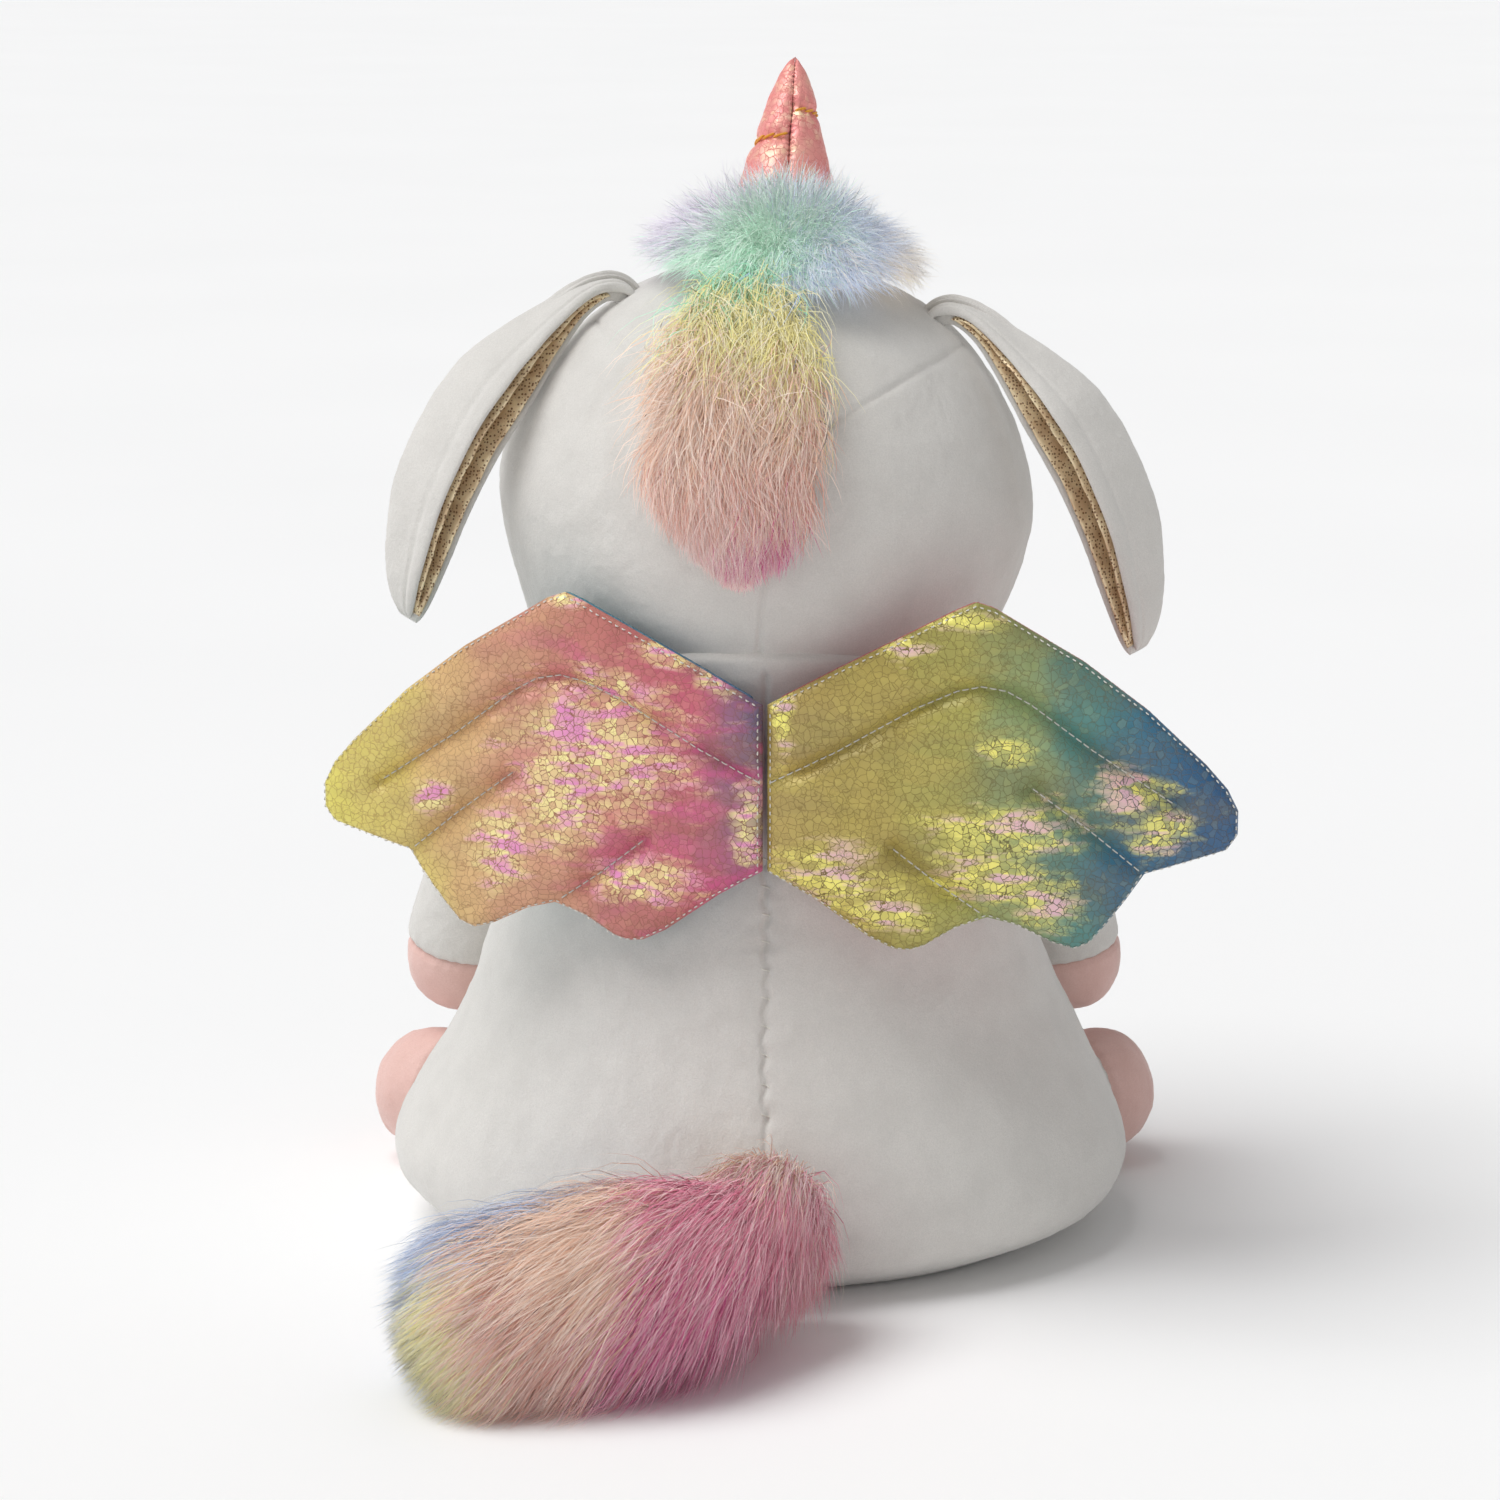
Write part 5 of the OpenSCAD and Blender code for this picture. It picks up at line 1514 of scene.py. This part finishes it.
def finish_mane():
    # The crest's tints are paler and glow more: painted light for the shade between its upright hairs
    crest_palette = fur_palette("crest_fur", tints([mixed(c, (1, 1, 1), 0.38) for c in MANE_COLOURS]), 0.16)
    palette = fur_palette("mane_fur", tints(MANE_COLOURS), 0.05)
    # Where each colour lies, in the head's own frame in mm: place, number in the palette, and how weak it is
    spots = [((30, 6, 100), 0, 0.85), ((10, 30, 104), 1, 0.85), ((28, 44, 88), 1, 0.95),
             ((-4, 38, 104), 1, 1.0),
             ((-24, 12, 104), 2, 1.0), ((-20, 44, 94), 2, 1.0), ((-42, 14, 88), 3, 0.85),
             ((-46, 24, 78), 4, 1.1),
             ((50, 10, 84), 1, 1.2), ((22, 66, 78), 4, 0.95), ((6, 72, 76), 4, 0.9), ((34, 70, 62), 5, 1.0),
             ((10, 88, 52), 5, 0.9), ((-6, 92, 40), 6, 1.0), ((22, 94, 30), 6, 1.0), ((30, 90, 44), 5, 1.0),
             ((16, 100, 14), 8, 0.9), ((6, 102, 20), 6, 1.1), ((-2, 104, 6), 7, 0.95),
             ((12, 102, -8), 8, 1.0),
             ((26, 98, 6), 8, 1.0), ((0, -40, 100), 0, 1.0), ((20, -36, 98), 2, 1.0),
             ((-20, -34, 98), 3, 1.0)]

    def colours_of(local):
        return nearest_colour(local, spots, 5)

    for spot, centre, size, height, used in (
            ("crest", CREST, (CREST_SIZE[0] * 0.86, CREST_SIZE[1] * 0.86), 10 * MM, crest_palette),
            ("nape", NAPE, (NAPE_SIZE[0] * 0.66, NAPE_SIZE[1] * 0.9), 5 * MM, palette)):
        fur_base(f"mane_{spot}_underfur", centre, size, height, used, colours_of, [f"mane_{spot}"])
    r = np.random.default_rng(21)
    down = np.array([0.0, 0.0, -1.0])
    for name, centre, size, count, long, lean, seed in (
            ("mane_crest_hair", CREST, CREST_SIZE, 18000, 25 * MM, 0.5, 4),
            ("mane_nape_hair", NAPE, NAPE_SIZE, 18000, 33 * MM, 0.0, 9)):
        turns, rad = r.uniform(0, 2 * math.pi, count), np.sqrt(r.uniform(0, 1, count)) * 0.97
        across, along = rad * np.cos(turns), rad * np.sin(turns)
        crest = lean > 0
        if not crest:
            # From the crest down to a point at the right
            along = np.where(along < 0, 1.3, 1.0) * along
            across = across * (0.80 - 0.30 * ease(along)) - 0.10 * ease(along)
        way = fur_spot(centre, size, across, along)
        height = (10 if crest else 5) * MM * np.sqrt(1 - rad**2)
        local = way * (88 * MM + 1.5 * MM + height)[:, None]
        if crest:
            axis = turn("x", HORN_LEAN) @ np.array([0, 0, 1.0])
            off = np.linalg.norm(np.cross(local, axis), axis=1)
            keep = off > 17 * MM
            local, way = local[keep], way[keep]
            count = len(local)
            outward = unit(local - np.outer(local @ axis, axis))
            middle = fur_spot(centre, size, 0.0, 0.0)
            radial = unit(way - np.outer(way @ middle, middle))
            share = np.minimum(1, np.linalg.norm(way - middle, axis=1) / 0.45)[:, None]
            begin = way * (1 - 0.55 * share) + radial * share * 0.9 + 0.1 * outward
            end = way * (0.6 - 0.45 * share) + 0.8 * share * radial + (0.15 + 0.5 * share) * down
            lengths = long * r.uniform(0.55, 1.1, count) * (1 - 0.2 * share[:, 0])
        else:
            swing = np.stack([noise(local, 16 * MM, 77), 0 * local[:, 0], 0 * local[:, 0]], 1)
            begin = 0.9 * way + 0.5 * down + 0.8 * swing
            end = 0.25 * way + down - 0.7 * swing
            lengths = long * r.uniform(0.6, 1.2, count)
            room = local[:, 2] + (14 - 12 * np.abs(local[:, 0] / 0.02 - 0.35)) * MM
            lengths = np.clip(np.minimum(lengths, room * r.uniform(0.8, 1.15, count)), 4 * MM, None)
        roots = HEAD_AT + local @ HEAD.T
        obj = strands(name, roots, way @ HEAD.T, begin @ HEAD.T, end @ HEAD.T, lengths,
                      r.uniform(0.2, 0.42, count) * MM, colours_of(local),
                      crest_palette if crest else palette,
                      clumps=count // 32, clump=0.62, push=away_from_head,
                      swirl=0.3 if crest else 0.36, seed=seed)
        finish_piece(obj, "head", [])


TAIL_FROM = joints["tail_swing"]
TAIL_MID = TAIL_FROM + np.array([22, 44.6, -4]) * MM
TAIL_TO = TAIL_FROM + np.array([98, 52.6, -15]) * MM
TAIL_R, TAIL_ROOT_R = 33 * MM, 14 * MM
TAIL_CORE, TAIL_CORE_END, TAIL_ROOT_OUT = 0.72, 0.82, 0.32


def tail_frame(t):
    """Centre, direction, side and up along the tail's middle line."""
    t = t[..., None]
    c = (1 - t) ** 2 * TAIL_FROM + 2 * t * (1 - t) * TAIL_MID + t**2 * TAIL_TO
    way = unit((1 - t) * (TAIL_MID - TAIL_FROM) + t * (TAIL_TO - TAIL_MID))
    side = unit(np.cross([0, 0, 1.0], way))
    return c, way, side, np.cross(way, side)


def tail_radius(t):
    return TAIL_ROOT_R + (TAIL_R - TAIL_ROOT_R) * ease(t / 0.5) - 4 * MM * ease((t - 0.6) / 0.4)


def tail_point(v, turns, share):
    t = np.clip(v, 0, 1) * TAIL_CORE_END
    back = np.where(v < 0, v, np.maximum(v - 1, 0))
    angle = np.pi / 2 * back
    c, way, side, up = tail_frame(t)
    # The root reaches further back than the core, to meet the body
    r = tail_radius(t) * (share + TAIL_ROOT_OUT * ease(-v / 0.5))
    out = np.cos(turns)[..., None] * side + np.sin(turns)[..., None] * up
    n = np.cos(angle)[..., None] * out + np.sin(angle)[..., None] * way
    p = c + r[..., None] * n
    # Near the floor the fur is pressed flat
    low, floor = 12 * MM, 0.6 * MM
    room, z = low - floor, p[..., 2]
    p[..., 2] = np.where(z > low, z, floor + room * np.exp((np.minimum(z, low) - low) / room))
    return p, n, way


HAIR_LIMIT = cad_box[1].y + 16 * MM
HAIR_PRESSED = 9 * MM


def clear_of_floor_and_body(p, share):
    p = p.copy()
    p[:, 2] = np.maximum(p[:, 2], 0.4 * MM)
    # Behind the hips, hairs lie on the body's curve and not in it
    reach = np.hypot(p[:, 0] / 0.129, np.maximum(p[:, 1], 0) / 0.114)
    inside_body = (reach < 1.0) & (p[:, 2] < 0.075)
    p[inside_body, 1] += (1.0 - reach[inside_body]) * 0.11 * 0.8
    # Behind, hairs are pressed together before they reach HAIR_LIMIT
    over = np.maximum(p[:, 1] - HAIR_LIMIT + HAIR_PRESSED, 0)
    p[:, 1] += HAIR_PRESSED * (1 - np.exp(-over / HAIR_PRESSED)) - over
    return p


def finish_tail():
    palette = fur_palette("tail_fur", tints(TAIL_COLOURS), 0.05)
    # Where each colour lies, in mm from the row's origin
    spots = [((8, 150, 62), 0, 0.9), ((20, 165, 48), 0, 0.85), ((4, 165, 30), 1, 1.0),
             ((30, 178, 24), 1, 0.95),
             ((38, 168, 52), 2, 0.95), ((58, 186, 46), 2, 0.85), ((70, 200, 34), 6, 1.05),
             ((56, 196, 22), 6, 1.0),
             ((88, 196, 22), 3, 0.85), ((100, 200, 12), 3, 0.95), ((60, 146, 50), 4, 0.9),
             ((70, 160, 54), 4, 1.0), ((90, 164, 44), 4, 0.85),
             ((112, 176, 34), 5, 0.9), ((126, 186, 16), 5, 1.0), ((0, 122, 62), 2, 1.25),
             ((14, 120, 64), 3, 1.3),
             ((-22, 150, 30), 7, 1.0), ((30, 128, 58), 2, 1.1), ((-2, 140, 44), 0, 1.0)]

    def colours_of(p):
        return nearest_colour(p, spots, 8, 5.0)

    n, m = 80, 90
    v = np.linspace(-0.96, 1.80, m)
    V, T = np.meshgrid(v, np.arange(n) / n * 2 * math.pi, indexing="ij")
    grid, normals, _ = tail_point(V, T, TAIL_CORE)
    grid = grid + normals * (1.5 * MM * layered(grid, 6 * MM, 19, 3))[..., None]
    grid[..., 2] = np.maximum(grid[..., 2], 0.5 * MM)
    points, faces = closed_tube(grid)
    centres = np.vstack([points[f].mean(1) for f in faces])
    obj = new_mesh("tail_underfur", points, faces, palette, colours_of(centres) * 3)
    finish_piece(obj, "tail", ["tail_cover"])
    grid, _, _ = tail_point(V[::2], T[::2], TAIL_CORE - 0.12)
    points, faces = closed_tube(grid)
    finish_piece(new_mesh("tail_filling", points, faces, [stuffing]), "tail", ["tail_stuffing"])
    for part, count, seed in (("tail_hair_a", 18500, 31), ("tail_hair_b", 18500, 37),
                              ("tail_hair_c", 18500, 43)):
        r = np.random.default_rng(seed)
        v = r.uniform(-0.85, 1.98, count)
        turns = r.uniform(-0.35 * math.pi, 1.35 * math.pi, count)
        roots, out, way = tail_point(v, turns, TAIL_CORE)
        down = np.array([0.0, 0, -1.0])
        begin = 0.55 * out + 0.75 * way + 0.1 * down
        end = 0.75 * way + 0.55 * down + 0.25 * out + np.array([0.0, 0.25, 0.0])
        longer = np.interp(v, [-0.9, 0.2, 1.0, 1.98], [0.75, 1.1, 1.0, 0.65])
        lengths = 34 * MM * r.uniform(0.6, 1.25, count) * longer
        widths = r.uniform(0.17, 0.36, count) * MM
        obj = strands(part, roots, out, begin, end, lengths, widths, colours_of(roots), palette,
                      clumps=count // 40, clump=0.5, push=clear_of_floor_and_body, swirl=0.2, seed=seed)
        finish_piece(obj, "tail", [])


# ---- Everything in order: cloth first, because all of it is simulated together ----

run_cloth()
body = finish_body()
finish_closing_thread(body)
finish_neck_thread()
finish_head()
finish_face()
finish_horn()
finish_ears()
finish_wings()
for arm in ARMS:
    finish_limb(arm, -90.5 * MM, True, [])
for leg in LEGS:
    finish_limb(leg, 11.4 * MM, False, [f"{leg['name']}_sole"])
finish_mane()
finish_tail()

# ---- Floor, light and camera ----


def make_floor():
    p = Paint("floor", roughness=0.8, specular=0.1)
    p.set(Base_Color=p.mix(rgb(253, 253, 253), rgb(249, 249, 249), p.noise(0.4)))
    edge = 60.0
    corners = [(-edge, -edge, 0), (edge, -edge, 0), (edge, edge, 0), (-edge, edge, 0)]
    obj = new_mesh("floor", corners, np.array([[0, 1, 2, 3]]), [p.material], smooth=False)
    obj.location.z = min(0.0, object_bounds()[0].z) - 0.05 * MM


def sun(name, way, strength, spread, colour=(1, 1, 1)):
    """A broad, distant light from the direction way."""
    data = bpy.data.lights.new(name, "SUN")
    data.energy, data.angle, data.color = strength, math.radians(spread), colour
    obj = bpy.data.objects.new(name, data)
    obj.location = way
    obj.rotation_euler = Vector(way).to_track_quat("Z", "Y").to_euler()
    bpy.context.scene.collection.objects.link(obj)


AMBIENT = 0.30


def make_stage():
    make_floor()
    sun("key", (0.52, 0.10, 1.0), 2.25, 45)
    sun("fill", (0.35, 0.90, 0.55), 0.15, 60)
    world = bpy.data.worlds.new("studio")
    world.use_nodes = True
    # Pale at the horizon, as a studio's backdrop is, and dimmer overhead
    tree = world.node_tree
    way = tree.nodes.new("ShaderNodeSeparateXYZ")
    tree.links.new(tree.nodes.new("ShaderNodeTexCoord").outputs["Generated"], way.inputs[0])
    fade = tree.nodes.new("ShaderNodeMapRange")
    for k, value in zip((1, 2, 3, 4), (0.06, 0.30, 0.97, AMBIENT)):
        fade.inputs[k].default_value = value
    tree.links.new(way.outputs[2], fade.inputs[0])
    tree.links.new(fade.outputs[0], tree.nodes["Background"].inputs["Strength"])
    tree.nodes["Background"].inputs["Color"].default_value = (0.985, 0.99, 1, 1)
    bpy.context.scene.world = world
    bpy.context.scene.view_settings.view_transform = "Standard"


CAMERA_RISE, CAMERA_AWAY, FRAME_WIDTH = 12.0, 1.5, 0.5175


def make_camera():
    low, high = cad_box
    target = Vector((0.0051, 0.0, low.z + 0.4155 * (high.z - low.z)))
    a = math.radians(CAMERA_RISE)
    data = bpy.data.cameras.new("camera")
    data.lens = data.sensor_width * CAMERA_AWAY / FRAME_WIDTH
    data.clip_start = 0.05
    obj = bpy.data.objects.new("camera", data)
    obj.location = target + CAMERA_AWAY * Vector((0, math.cos(a), math.sin(a)))
    obj.rotation_euler = (target - obj.location).to_track_quat("-Z", "Y").to_euler()
    bpy.context.scene.collection.objects.link(obj)
    bpy.context.scene.camera = obj


make_stage()
make_camera()
